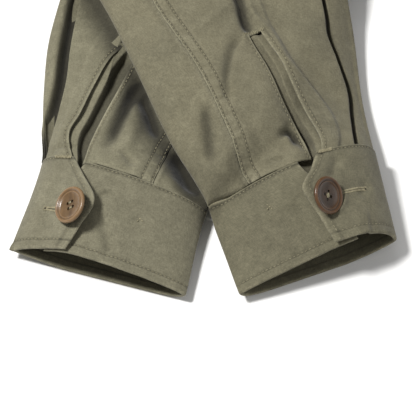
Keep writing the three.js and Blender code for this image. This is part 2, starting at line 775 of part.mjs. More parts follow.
// A four-hole button with a raised rim and its thread shank, sewn point at the origin, face up.
function button(diameter) {
  const radius = diameter / 2;
  const low = SHANK_LENGTH;
  const top = low + BUTTON_THICKNESS;
  const profile = [
    [0, 0], [SHANK_RADIUS, 0], [SHANK_RADIUS, low], [radius * 0.72, low],
    [radius * 0.95, low + 1.1], [radius, low + 2.2], [radius * 0.95, top - 0.4],
    [radius * 0.87, top], [radius * 0.78, top - 0.5], [radius * 0.7, top - 1.5], [0, top - 1.9],
  ].map(([x, y]) => new THREE.Vector2(x, y));
  const disc = new THREE.LatheGeometry(profile, 20);
  disc.rotateX(Math.PI / 2);
  let solid = solidOf(disc);
  for (const [x, y] of [[1, 1], [-1, 1], [-1, -1], [1, -1]]) {
    const drill = new THREE.CylinderGeometry(BUTTON_HOLE_RADIUS, BUTTON_HOLE_RADIUS, 20, 6);
    drill.rotateX(Math.PI / 2);
    drill.translate(x * BUTTON_HOLE_SPREAD, y * BUTTON_HOLE_SPREAD, 10 + low / 2 + 0.2);
    solid = solid.subtract(solidOf(drill));
  }
  return geometryOf(solid);
}

// Assembly

const jacket = new THREE.Group();
const body = new THREE.Group();
jacket.add(body);

function piece(name, geometry, colour, roughness = 0.9) {
  const material = new THREE.MeshStandardMaterial({ color: colour, roughness, metalness: 0 });
  const mesh = new THREE.Mesh(geometry, material);
  mesh.name = name;
  body.add(mesh);
  return mesh;
}

function sewButton(name, diameter, place, normal) {
  const mesh = piece(name, button(diameter), COLOURS.button, 0.45);
  mesh.quaternion.setFromUnitVectors(new THREE.Vector3(0, 0, 1), normal);
  mesh.position.copy(place).addScaledVector(normal, SEAM_GAP);
}

const left = new Sleeve("left", leftStations, leftLines, leftCuffEnds);
const right = new Sleeve("right", rightStations, rightLines, rightCuffEnds);
right.below = (x, y) => left.hill(x, y);

for (const sleeve of [left, right]) {
  const { side } = sleeve;
  piece(`sleeve_top_${side}`, topSleeve(sleeve), COLOURS.cotton);
  piece(`sleeve_under_${side}`, underSleeve(sleeve), COLOURS.cotton);
  piece(`vent_gusset_${side}`, ventGusset(sleeve), COLOURS.shadeCotton);
  const cuff = new Cuff(sleeve);
  piece(`cuff_${side}`, cuff.geometry(), COLOURS.cuffCotton);
  const { s, v, tilt } = sleeve.button;
  const angle = 2 * Math.PI + Math.acos(s);
  const place = cuff.point(angle, v, 0);
  const flat = cuff.outward(angle, v);
  const lean = new THREE.Vector3(Math.sin(radians(tilt)), flat.y, Math.cos(radians(tilt)));
  const normal = lean.normalize();
  sewButton(`button_cuff_${side}`, CUFF_BUTTON_DIAMETER, place, normal);
}

piece("front_left", front("left"), COLOURS.cotton);
piece("front_right", front("right"), COLOURS.cotton);
piece("back", back(), COLOURS.cotton);
piece("collar", collar(), COLOURS.cotton);

const flyTop = 2 * FOLD_RADIUS + FRONT_WALL + SEAM_GAP;
[430, 350].forEach((y, i) => {
  const place = new THREE.Vector3(-1, y, flyTop);
  sewButton(`button_front_${i + 1}`, FRONT_BUTTON_DIAMETER, place, new THREE.Vector3(0, 0, 1));
});

jacket.updateMatrixWorld(true);
const box = new THREE.Box3().setFromObject(jacket);
const centre = box.getCenter(new THREE.Vector3());
body.position.set(-centre.x, -centre.y, -box.min.z);

export default jacket;
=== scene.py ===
"""Looks of a cotton field jacket that lies folded with its sleeves crossed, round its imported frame.

Sizes are in millimetres in the part's own plan: z is 0 on the table, the cuffs point along -Y and
the wearer's right sleeve lies on top. Meshes are made in metres, in the frame's coordinates.
"""

import logging
import math
from dataclasses import dataclass, field
from enum import Enum
from typing import Callable

import bmesh
import bpy
import numpy as np
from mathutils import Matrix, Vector

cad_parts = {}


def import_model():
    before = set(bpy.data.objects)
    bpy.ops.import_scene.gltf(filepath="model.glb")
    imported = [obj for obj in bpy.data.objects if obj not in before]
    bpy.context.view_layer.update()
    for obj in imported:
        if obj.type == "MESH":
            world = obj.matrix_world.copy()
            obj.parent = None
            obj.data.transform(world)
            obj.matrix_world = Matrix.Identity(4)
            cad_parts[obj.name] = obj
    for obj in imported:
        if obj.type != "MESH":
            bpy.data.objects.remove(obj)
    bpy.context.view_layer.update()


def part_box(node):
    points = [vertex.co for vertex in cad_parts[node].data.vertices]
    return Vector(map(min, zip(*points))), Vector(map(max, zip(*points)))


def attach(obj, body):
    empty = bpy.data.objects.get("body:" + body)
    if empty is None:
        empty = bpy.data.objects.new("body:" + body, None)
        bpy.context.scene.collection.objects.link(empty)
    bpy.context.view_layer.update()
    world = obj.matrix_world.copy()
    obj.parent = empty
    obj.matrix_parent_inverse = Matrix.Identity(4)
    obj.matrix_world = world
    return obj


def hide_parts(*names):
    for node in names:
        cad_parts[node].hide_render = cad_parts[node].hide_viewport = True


Array = np.ndarray
Surface = Callable[[Array, Array], Array]
Colour = tuple[int, int, int]
Material = bpy.types.Material
Piece = bpy.types.Object
Socket = bpy.types.NodeSocket

log = logging.getLogger("field_jacket")

SLEEVE_WALL = 1.8
CUFF_WALL = 2.8
GUSSET_WALL = 1.5
FRONT_WALL = 2.0
COLLAR_WALL = 2.6
SEAM_GAP = 0.35
FELLED_STEP = 1.0
LOWEST_TOP = 2.0 * SLEEVE_WALL + 0.8
FELLED_WIDTH = 9.5
VENT_LENGTH = 100.0
VENT_LIP = 1.5
SHOULDER_FOLD_END = 13.5
CUFF_PROUD = 0.9
# Near-black tone of the painted shade in stitch grooves, creases and hollows.
PAINTED_SHADE_TONE = (25, 23, 18)
CURL_START = 0.35
PASSING_ROOM = 3.8
GUSSET_GAP = 0.7
BODY_HALF_WIDTH = 262.0
SHOULDER = (215.0, 500.0)
UNDERARM = (262.0, 266.0)
NECK_SIDE = (80.0, 547.0)
FRONT_NECK_Y = 455.0
BACK_NECK_Y = 531.0
BACK_TOP_Y = 546.0
FOLD_CENTRE_Y = 217.0
FOLD_RADIUS = 12.0
FLY_PROUD = 3.0
FLY_SLOPE = (24.0, 44.0)
FLY_HOLLOW = (-32.0, 24.0)
SLEEVE_CLIMB = (132.0, 198.0)
HEM_Y = 490.0
HEM_HALF_WIDTH = 246.0
LAYER_SPLIT = 11.1
EDGE_ROLL = 12.0
EDGE_DROP = 5.0
FLY_LEFT = -20.0
FLY_RIGHT = 14.0
FLY_RAMP = 8.0
FELLED_STITCH = 1.7
FELLED_INSET = 1.0
FLAP_STITCH = 3.4
UNDER_STITCH = 2.4
COVER_PRESS = 3.5
COVER_REACH = 11.0
COVER_STOPS = 160
FAR_FROM_EDGE = 50.0
TURN = 2.0 * math.pi
SLEEVE_NUDGE = (0.01, 0.6)
CUFF_NUDGE = (0.01, 0.01)


class Side(Enum):
    """The wearer's side that a piece belongs to."""

    LEFT = "left"
    RIGHT = "right"


class Slot(Enum):
    """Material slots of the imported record."""

    COTTON = "cotton"
    CUFF = "cuff_cotton"
    BUTTON = "button"


def ease(start: float, stop: float, x: Array) -> Array:
    """Smooth step from 0 at start to 1 at stop.

    Args:
        start: Place where the step leaves 0.
        stop: Place where the step reaches 1.
        x: Places to look at.

    Returns:
        The step's height at each place.
    """
    u = np.clip((np.asarray(x, float) - start) / (stop - start), 0.0, 1.0)
    return u * u * (3.0 - 2.0 * u)


def lerp(a: Array, b: Array, share: Array) -> Array:
    """The value between a and b at a share of the way."""
    return a + (b - a) * share


def unit(vectors: Array) -> Array:
    """The same vectors at a length of one."""
    return vectors / np.maximum(np.linalg.norm(vectors, axis=-1, keepdims=True), 1e-9)


def ridge(place: Array, line: float | Array, width: float | Array = 1.0) -> Array:
    """Nearness to a line, 1 on it and fading over a width to either side."""
    return np.exp(-(((place - line) / width) ** 2))


def distances(points: Array) -> Array:
    """Distances of points along their line, from its start."""
    steps = np.linalg.norm(np.diff(points, axis=0), axis=1)
    return np.concatenate([[0.0], np.cumsum(steps)])


def rimmed(length: float, cells: int, inset: float = 1.8) -> Array:
    """Shares of a length from 0 to 1, closer together beside both free edges."""
    rim = np.array([0.0, 0.25, 0.6, 1.1]) / length
    return np.concatenate([rim, np.linspace(inset / length, 1.0 - inset / length, cells), 1.0 - rim[::-1]])


def rumple(u: Array, v: Array, size: tuple[float, float], seed: int) -> Array:
    """Smooth uneven heights from -1 to 1, the same ones at each run.

    Args:
        u: Places across the cloth.
        v: Places along the cloth.
        size: Length of a bump across and along.
        seed: Number of the pattern.

    Returns:
        The height at each place.
    """
    side = 97
    lattice = np.random.default_rng(seed).uniform(-1.0, 1.0, (side, side))
    a, b = np.asarray(u) / size[0] + seed, np.asarray(v) / size[1] + 2.0 * seed
    i, j = np.floor(a).astype(int), np.floor(b).astype(int)
    p, q = ease(0, 1, a - i), ease(0, 1, b - j)
    low = lerp(lattice[i % side, j % side], lattice[(i + 1) % side, j % side], p)
    high = lerp(lattice[i % side, (j + 1) % side], lattice[(i + 1) % side, (j + 1) % side], p)
    return lerp(low, high, q)


class Curves:
    """Named columns of values, each on a smooth curve through the rows of a table."""

    def __init__(self, columns: tuple[str, ...], rows: list[tuple[float, ...]]) -> None:
        """Keeps the rows, with the first column as the knots.

        Args:
            columns: Names of the columns.
            rows: Values, one tuple a row.
        """
        self.values = dict(zip(columns, np.array(rows, float).T))
        self.knots = self.values[columns[0]]

    def at(self, column: str, place: Array) -> Array:
        """Value of one column at places along the knots.

        Args:
            column: Name of the column.
            place: Places along the knots, held to the ends beyond them.

        Returns:
            The value at each place.
        """
        values, knots = self.values[column], self.knots
        last = len(knots) - 1
        before = np.maximum(np.arange(last + 1) - 1, 0)
        after = np.minimum(np.arange(last + 1) + 1, last)
        slope = (values[after] - values[before]) / (knots[after] - knots[before])
        i = np.searchsorted(knots[1:-1], place, side="left")
        span = knots[i + 1] - knots[i]
        u = np.clip((place - knots[i]) / span, 0.0, 1.0)
        bend = (2.0 * u - 3.0) * u * u
        leave = ((u - 2.0) * u + 1.0) * u * slope[i] * span
        arrive = (u - 1.0) * u * u * slope[i + 1] * span
        return values[i] * (1.0 + bend) - values[i + 1] * bend + leave + arrive


class Stations(Curves):
    """Cross sections of a sleeve from the cuff's mouth, by distance along its middle line."""

    COLUMNS = ("mx", "my", "lx", "ly", "edge", "rise", "peak", "medial", "lateral", "curl")

    def __init__(self, rows: list[tuple[float, ...]]) -> None:
        """Measures the sleeve along its middle and uses that as the knots.

        Args:
            rows: Plan places of the medial and lateral side, heights and roundness, one a row.
        """
        super().__init__(self.COLUMNS, rows)
        value = self.values
        middle = np.stack([value["mx"] + value["lx"], value["my"] + value["ly"]], axis=1) / 2.0
        self.knots = distances(middle)


RIGHT_STATIONS = Stations([
    (20.7, -69.4, 124.7, -30.1, 11, 23, 0.5, 0, 0.5, 0.7),
    (0, -11.9, 111.3, 32.5, 12, 33, 0.12, 0.45, 1, 0.3),
    (-25, 30.2, 104, 73.9, 9, 26, 0.18, 0.8, 1, 0),
    (-48, 84.2, 97.5, 130.2, 8, 20, 0.25, 1, 1, 0),
    (-71.5, 138, 85.5, 179.5, 7, 17, 0.15, 1, 1, 0),
    (-97, 178, 64, 236, 6, 14, 0, 1, 1, 0),
    (-138, 214, 24, 298, 6, 12, 0, 1, 1, 0),
    (-182, 240, -45, 362, 6, 12, 0, 1, 1, 0),
    (-226, 258, -128, 428, 5, 11, 0, 1, 1, 0),
    (-262, 266, -215, 500, 5, 9, 0, 1, 1, 0),
])
LEFT_STATIONS = Stations([
    (-14.7, -69.4, -130.7, -36.5, 9, 19, 0.36, 0.35, 0, 1),
    (-0.7, -8.3, -110, 28.3, 10, 22, 0.3, 0.75, 0.75, 0.4),
    (15, 17.7, -110.8, 56, 9, 19, 0.36, 0.2, 0.8, 0),
    (32.6, 43, -110.5, 86.4, 8, 17, 0.4, -0.3, 0.9, 0),
    (47, 73.4, -108, 120.6, 8, 16, 0.4, -0.4, 1, 0),
    (60.5, 101.4, -101, 150.4, 7, 15, 0.35, -0.4, 1, 0),
    (85, 140, -81.5, 200, 7, 14, 0.2, 0, 1, 0),
    (120, 180, -50, 262, 6, 12, 0, 0.6, 1, 0),
    (165, 218, 8, 330, 6, 12, 0, 1, 1, 0),
    (215, 247, 100, 410, 5, 11, 0, 1, 1, 0),
    (262, 266, 215, 500, 5, 9, 0, 1, 1, 0),
])
LINE = ("above", "outer", "inner", "flap", "under", "seam", "outer_drop", "inner_drop", "vent_drop")
RIGHT_LINES = Curves(LINE, [
    (0, 0.756, 0.53, 0.34, 0.24, -0.52, 4, 2, 6),
    (12, 0.78, 0.6, 0.385, 0.232, -0.53, 4, 2.5, 6),
    (32, 0.822, 0.6, 0.352, 0.21, -0.48, 4.5, 3, 6),
    (50, 0.85, 0.51, 0.31, 0.165, -0.472, 4.5, 4, 5),
    (72, 0.796, 0.34, 0.243, 0.118, -0.49, 4.5, 3.5, 4),
    (91, 0.735, 0.265, 0.165, 0.052, -0.53, 4.5, 2.5, 3),
    (106, 0.75, 0.22, 0.115, 0.022, -0.57, 4, 2, 1),
    (141, 0.76, 0.2, 0.09, 0.01, -0.639, 3, 1, 0),
    (220, 0.74, 0.2, 0.1, 0, -0.66, 2, 0, 0),
    (500, 0.7, 0.3, 0.16, 0, -0.5, 0, 0, 0),
])
LEFT_LINES = Curves(LINE, [
    (0, 0.985, 0.83, 0.62, 0.52, -0.35, 1, 1, 5),
    (11, 0.95, 0.83, 0.69, 0.49, -0.35, 1.5, 1, 6),
    (22, 0.89, 0.8, 0.69, 0.445, -0.34, 1.5, 1, 6),
    (36, 0.842, 0.73, 0.605, 0.4, -0.33, 1.5, 1, 6),
    (60, 0.797, 0.66, 0.522, 0.332, -0.34, 1.5, 1, 5),
    (84, 0.797, 0.6, 0.43, 0.272, -0.35, 1.5, 0.8, 3),
    (106, 0.81, 0.55, 0.31, 0.24, -0.35, 1.5, 0.5, 0.5),
    (125, 0.83, 0.5, 0.28, 0.2, -0.35, 1.5, 0, 0),
    (220, 0.78, 0.5, 0.26, 0.18, -0.35, 1, 0, 0),
    (520, 0.7, 0.4, 0.2, 0, -0.35, 0, 0, 0),
])
CUFF_END = ("v", "tab", "underlap", "lift")
RIGHT_CUFF_ENDS = Curves(CUFF_END, [
    (0, 0.25, 0.5, 6),
    (0.35, 0.13, 0.42, 4.5),
    (0.66, 0.03, 0.3, 4),
    (0.82, 0.16, 0.14, 3),
    (1, 0.28, 0.05, 2),
])
LEFT_CUFF_ENDS = Curves(CUFF_END, [
    (0, 0.36, 0.62, 0.5),
    (0.3, 0.28, 0.6, 4.5),
    (0.56, 0.22, 0.58, 7.5),
    (0.8, 0.42, 0.55, 4),
    (1, 0.6, 0.47, 1),
])
COLLAR = Curves(
    ("round", "nx", "ny", "nz", "rx", "ry", "rz", "mx", "my", "mz", "ex", "ey", "ez"),
    [
        (0, 14, 452, 28.6, 15, 459, 33.5, 36, 440, 31, 58, 418, 28.5),
        (60, 52, 478, 27, 50, 487, 34, 74, 470, 32, 100, 448, 27.5),
        (110, 72, 520, 26.8, 70, 530, 36, 98, 518, 33, 128, 500, 27.5),
        (127, 74, 537, 26.4, 72, 548, 36, 101, 543, 33.5, 130, 534, 28),
        (142, 73, 549, 24, 71, 561, 35, 100, 565, 32, 125, 558, 17),
        (170, 58, 545, 18, 56, 573, 34, 84, 587, 22, 98, 564, 5),
        (215, 28, 537, 17, 26, 572, 32, 36, 588, 20, 44, 545, 4.6),
        (245, 0, 535, 16.5, 0, 572, 31, 0, 586, 19, 0, 538, 4.6),
    ],
)


@dataclass
class Place:
    """Turns the part's own plan in millimetres into the frame's metres."""

    shift: Array

    @classmethod
    def from_frame(cls) -> "Place":
        """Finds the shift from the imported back, which is centred on the part's own y axis."""
        low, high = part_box("back")
        shift = np.array([(low.x + high.x) / 2.0, high.y - BACK_TOP_Y / 1000.0, 0.0])
        return cls(shift)

    def metres(self, points: Array) -> Array:
        """Points of the plan, in metres in the frame."""
        return np.asarray(points, float) / 1000.0 + self.shift


def body_top(x: Array, y: Array) -> Array:
    """Height of the folded body under a place, with the button fly along its middle.

    Args:
        x: Places across.
        y: Places along.

    Returns:
        The height of the body's top at each place.
    """
    fly = FLY_PROUD * (1.0 - ease(*FLY_SLOPE, np.abs(x)))
    return (2.0 * FOLD_RADIUS + SEAM_GAP + fly) * ease(*SLEEVE_CLIMB, y)


@dataclass(frozen=True)
class Crease:
    """A soft trough or ridge of the cloth along a line in plan."""

    path: tuple[tuple[float, float], ...]
    height: float
    width: float
    lean: float = 1.0

    def lift(self, x: Array, y: Array) -> Array:
        """Height that the crease adds to the cloth.

        Args:
            x: Places across.
            y: Places along.

        Returns:
            The height at each place, below 0 in a trough.
        """
        points = np.array(self.path, float)
        knots = np.linspace(0.0, 1.0, len(points))
        curve = Curves(("t", "x", "y"), np.column_stack([knots, points]).tolist())
        steps = np.linspace(0.0, 1.0, 6 * len(points))
        line = np.stack([curve.at("x", steps), curve.at("y", steps)], axis=1)
        nearest = np.full(np.shape(x), np.inf)
        share = np.zeros(np.shape(x))
        width = np.full(np.shape(x), self.width)
        for k in range(len(line) - 1):
            span = line[k + 1] - line[k]
            dx, dy = x - line[k][0], y - line[k][1]
            t = np.clip((dx * span[0] + dy * span[1]) / (span @ span), 0.0, 1.0)
            off = np.hypot(dx - t * span[0], dy - t * span[1])
            closer = off < nearest
            nearest = np.where(closer, off, nearest)
            share = np.where(closer, lerp(steps[k], steps[k + 1], t), share)
            left = span[0] * dy - span[1] * dx > 0
            width = np.where(closer, np.where(left, self.width, self.width * self.lean), width)
        ends = ease(0, 0.3, share) * (1.0 - ease(0.7, 1.0, share))
        return self.height * ends * ridge(nearest, 0.0, width)


@dataclass(frozen=True)
class ButtonPlace:
    """Where a cuff's button is sewn: across and up the cuff, its tilt and its turn in degrees."""

    s: float
    v: float
    tilt: float
    turn: float


@dataclass
class SleeveForm:
    """The shape of a sleeve lying flat, by angle round it and distance along it.

    Angle 0 is the lateral side, 90 degrees the top and 180 degrees the medial side.
    """

    side: Side
    stations: Stations
    lines: Curves
    cuff_ends: Curves
    button: ButtonPlace
    creases: tuple[Crease, ...]
    pleat_depth: float
    pleat_width: float
    below: Callable[[Array, Array], Array] = body_top
    cover: "SleeveForm | None" = None

    @property
    def cuff_height(self) -> float:
        """Distance from the cuff's mouth to its top."""
        return float(self.stations.knots[1])

    @property
    def length(self) -> float:
        """Distance from the cuff's mouth to the armhole."""
        return float(self.stations.knots[-1])

    def line(self, column: str, along: Array) -> Array:
        """Place or depth of a line of the sleeve at distances along it."""
        return self.lines.at(column, np.asarray(along, float) - self.cuff_height)

    def plan(self, s: Array, along: Array) -> tuple[Array, Array]:
        """Plan place at s across, from -1 medial to 1 lateral.

        Args:
            s: Places across.
            along: Distances along.

        Returns:
            The x and the y of each place.
        """
        u = (np.asarray(s, float) + 1.0) / 2.0
        at = self.stations.at
        return lerp(at("mx", along), at("lx", along), u), lerp(at("my", along), at("ly", along), u)

    def sides(self, along: Array) -> tuple[Array, Array, Array, Array]:
        """Plan places of the medial and the lateral side, an x and a y of each."""
        return (*self.plan(-1, along), *self.plan(1, along))

    def half(self, along: Array) -> Array:
        """Half the sleeve's width."""
        mx, my, lx, ly = self.sides(along)
        return np.hypot(lx - mx, ly - my) / 2.0

    def slope(self, s: Array, along: Array) -> Array:
        """Distance down a slope of the crown, 0 at its peak and 1 at the side edge."""
        peak = self.stations.at("peak", along)
        return np.where(s > peak, (s - peak) / (1.0 - peak), (peak - s) / (1.0 + peak))

    def bump(self, s: Array, along: Array) -> Array:
        """Height of the crown across the sleeve, 1 at its peak and 0 at the side edges.

        Args:
            s: Places across.
            along: Distances along.

        Returns:
            The height at each place.
        """
        at = self.stations.at
        lateral = s > at("peak", along)
        curve = np.where(lateral, at("lateral", along), at("medial", along))
        down = np.clip(self.slope(s, along), 0.0, 1.0)
        return (1.0 - down ** lerp(1.15, 2.4, curve)) ** lerp(0.9, 0.5, curve)

    def underside(self, s: Array, along: Array) -> Array:
        """Height of the underside, 0 where it rests and 1 at the side edges.

        Args:
            s: Places across.
            along: Distances along.

        Returns:
            The height at each place.
        """
        curl = np.where(s > CURL_START, self.stations.at("curl", along), 0.0)
        straight = np.clip((s - CURL_START) / (1.0 - CURL_START), 0.0, 1.0) ** 1.3
        arch = 1.0 - np.sqrt(np.clip(1.0 - np.abs(s) ** 6, 0.0, 1.0))
        return lerp(arch, np.where(curl > 0, straight, 0.0), curl)

    def fold(self, s: Array, along: Array) -> Array:
        """Pleats, vent edges and felled seam, as heights above the plain crown.

        Args:
            s: Places across.
            along: Distances along.

        Returns:
            The height at each place.
        """
        half = self.half(along)
        above = along - self.cuff_height
        from_outer = (s - self.line("outer", along)) * half
        outer = -self.line("outer_drop", along) * ease(-1, 2.5, from_outer)
        gap = ease(-0.35, 0.45, from_outer) * (1.0 - ease(0.25, 1, from_outer / self.pleat_width))
        outer = outer - self.pleat_depth * (1.0 - ease(150, 220, above)) * gap
        from_inner = (s - self.line("inner", along)) * half
        inner = -self.line("inner_drop", along) * ease(0, 3, from_inner)
        inner = inner * (1.0 - ease(4, 26, from_inner))
        from_flap = (s - self.line("flap", along)) * half
        vent = -self.line("vent_drop", along) * ease(-20, -2, from_flap)
        vent = vent * (1.0 - ease(-1.5, 0.5, from_flap))
        lip = VENT_LIP * ease(-1.5, 0.5, from_flap) * (1.0 - ease(2, 16, from_flap))
        lip = lip * (1.0 - ease(VENT_LENGTH - 20, VENT_LENGTH + 10, above))
        from_seam = (s - self.line("seam", along)) * half
        felled = FELLED_STEP * ease(-1, 0, from_seam)
        felled = felled * (1.0 - ease(FELLED_WIDTH, FELLED_WIDTH + 12, from_seam))
        return (outer + inner + vent + lip + felled) * (1.0 - ease(0.96, 1, np.abs(s)))

    def crease_lift(self, x: Array, y: Array) -> Array:
        """Height that all creases add to the top together."""
        return sum(crease.lift(x, y) for crease in self.creases)

    def under_cover(self, x: Array, y: Array) -> Array:
        """Nearness to the side edge of the sleeve that lies over this one, 1 right at it.

        Args:
            x: Plan places across.
            y: Plan places along.

        Returns:
            The nearness at each place, 0 where nothing lies over it.
        """
        if self.cover is None:
            return np.zeros(np.shape(x))
        edge_x, edge_y = self.cover.plan(-1, np.linspace(0.0, self.cover.length, COVER_STOPS))
        off = np.full(np.shape(x), np.inf)
        for stop_x, stop_y in zip(edge_x, edge_y):
            off = np.minimum(off, np.hypot(x - stop_x, y - stop_y))
        return ridge(off, 0.0, COVER_REACH)

    def relief(self, x: Array, y: Array, s: Array, along: Array) -> Array:
        """Creases, gathers at the cuff, seam puckers and soft unevenness on the top.

        Args:
            x: Plan places across.
            y: Plan places along.
            s: Places across the sleeve.
            along: Distances along the sleeve.

        Returns:
            The height at each place.
        """
        seed = 3 if self.side is Side.LEFT else 11
        half = self.half(along)
        above = along - self.cuff_height
        across = s * half
        creases = self.crease_lift(x, y) - COVER_PRESS * self.under_cover(x, y)
        soft = 0.8 * rumple(across, along, (19, 34), seed) + 0.3 * rumple(across, along, (8, 11), seed + 1)
        gather = 0.8 * (1.0 - ease(0, 32, above)) * rumple(across, above, (6.5, 20), seed + 2)
        from_seam = (s - self.line("seam", along)) * half
        band = ease(0.6, 2.2, from_seam) * (1.0 - ease(FELLED_WIDTH - 2.5, FELLED_WIDTH + 1.5, from_seam))
        pucker = band * rumple(from_seam, along, (14, 2.5), seed + 3)
        rows = ridge(from_seam, FELLED_STITCH) + ridge(from_seam - FELLED_WIDTH, -FELLED_INSET)
        return (creases + soft + gather + pucker - 0.4 * rows) * (1.0 - ease(0.86, 1, np.abs(s)))

    def plain(self, angle: Array, along: Array) -> Array:
        """The sleeve's form without folds.

        Args:
            angle: Angles round the sleeve.
            along: Distances along it.

        Returns:
            Points in the part's plan.
        """
        angle, along = np.broadcast_arrays(np.asarray(angle, float), np.asarray(along, float))
        s = np.clip(np.cos(angle), -1.0, 1.0)
        x, y = self.plan(s, along)
        edge = self.stations.at("edge", along)
        crown = edge + self.stations.at("rise", along) * self.bump(s, along)
        up = np.where(np.sin(angle) >= 0, crown, edge * self.underside(s, along))
        return np.stack([x, y, self.below(x, y) + up], axis=-1)

    def outward(self, angle: Array, along: Array) -> Array:
        """Direction out of the sleeve within its cross section.

        Args:
            angle: Angles round the sleeve.
            along: Distances along it.

        Returns:
            One direction for each place.
        """
        turn = 0.02
        round_it = self.plain(angle + turn, along) - self.plain(angle - turn, along)
        mx, my, lx, ly = self.sides(along)
        axis = np.stack(np.broadcast_arrays(my - ly, lx - mx, 0.0 * mx), axis=-1)
        return unit(np.cross(axis, round_it))

    def face(self, angle: Array, along: Array) -> Array:
        """The outer face of the cloth, folds and creases included.

        Args:
            angle: Angles round the sleeve.
            along: Distances along it.

        Returns:
            Points in the part's plan.
        """
        points = self.plain(angle, along)
        s = np.clip(np.cos(angle), -1.0, 1.0)
        lift = self.fold(s, along) + self.relief(points[..., 0], points[..., 1], s, along)
        level = points[..., 2]
        lifted = np.maximum(level + lift, np.minimum(level, LOWEST_TOP))
        points[..., 2] = np.where(np.sin(angle) > 0, lifted, level)
        return points

    def fold_under(self, s: Array, along: Array, reach: float) -> Array:
        """Lowest fold within a reach to either side.

        Args:
            s: Places across.
            along: Distances along.
            reach: Distance to either side.

        Returns:
            The height of the fold at each place.
        """
        step = reach / self.half(along)
        places = [np.clip(s + k * step, -1.0, 1.0) for k in (-1, -0.5, 0, 0.5, 1)]
        return np.min([self.fold(place, along) for place in places], axis=0)

    def turned(self, angle: Array, turn: Array) -> Array:
        """Rows past the armhole line, where the top layer turns down round the shoulder fold.

        Args:
            angle: Angles round the sleeve.
            turn: Share of the turn.

        Returns:
            Points in the part's plan.
        """
        points = self.face(angle, self.length + 0.0 * turn)
        top = ease(0, 0.9, np.sin(angle))
        arc = math.pi * turn * top
        drop = (points[..., 2] - SHOULDER_FOLD_END) / 2.0
        reach = drop * np.sin(arc) + 1.2 * turn * (1.0 - top)
        sign = -1.0 if self.side is Side.RIGHT else 1.0
        points[..., 0] += sign * 0.98 * reach
        points[..., 1] += 0.197 * reach
        points[..., 2] -= drop * (1.0 - np.cos(arc))
        return points

    def hill(self, x: Array, y: Array) -> Array:
        """Height above the table that another sleeve needs to pass over this one.

        Args:
            x: Places across.
            y: Places along.

        Returns:
            The height at each place.
        """
        along, s, found = self.locate(x, y)
        reach = lerp(1.5, 1.2, 1.0 - ease(60, 150, along))
        wide = np.abs(s)
        edge = self.stations.at("edge", along) * (1.0 - ease_between(0.95, reach, wide))
        crown = self.stations.at("rise", along) * (1.0 - ease_between(0.2, reach, self.slope(s, along)))
        room = PASSING_ROOM * (1.0 - ease(1, 1.3, wide))
        return body_top(x, y) + np.where(found, (edge + crown + room) * ease(-25, 10, along), 0.0)

    def locate(self, x: Array, y: Array) -> tuple[Array, Array, Array]:
        """Finds where plan places lie on this sleeve.

        Args:
            x: Places across.
            y: Places along.

        Returns:
            Distances along, places across, and whether each place has one.
        """
        sign = 1.0 if self.side is Side.RIGHT else -1.0

        def side(along: Array) -> Array:
            """Which side of the cross section at a distance along each place is on."""
            mx, my, lx, ly = self.sides(along)
            return sign * ((lx - mx) * (y - my) - (ly - my) * (x - mx))

        stops = np.linspace(0.0, self.length, 61)
        low = np.zeros(np.shape(x))
        high = np.zeros(np.shape(x))
        found = np.zeros(np.shape(x), bool)
        before = side(np.zeros(1)) < 0
        for start, stop in zip(stops[:-1], stops[1:]):
            fresh = ~found & (side(np.full(1, stop)) < 0)
            low = np.where(fresh, start, low)
            high = np.where(fresh, stop, high)
            found |= fresh
        for _ in range(18):
            middle = (low + high) / 2.0
            past = side(middle) < 0
            high = np.where(past, middle, high)
            low = np.where(past, low, middle)
        mx, my, lx, ly = self.sides(np.zeros(1))
        span_x, span_y = lx - mx, ly - my
        off = np.abs(span_x * (y - my) - span_y * (x - mx)) / np.hypot(span_x, span_y)
        along = np.where(before, -off, low)
        return along, self.across(x, y, np.where(before, 0.0, low)), found | before

    def across(self, x: Array, y: Array, along: Array) -> Array:
        """Place across the sleeve of a plan place at a distance along.

        Args:
            x: Plan places across.
            y: Plan places along.
            along: Distances along the sleeve.

        Returns:
            The place from -1 medial to 1 lateral.
        """
        mx, my, lx, ly = self.sides(along)
        dx, dy = lx - mx, ly - my
        return 2.0 * ((x - mx) * dx + (y - my) * dy) / (dx * dx + dy * dy) - 1.0


def ease_between(start: float, stop: Array, x: Array) -> Array:
    """Smooth step whose far end differs from place to place."""
    u = np.clip((x - start) / (stop - start), 0.0, 1.0)
    return u * u * (3.0 - 2.0 * u)


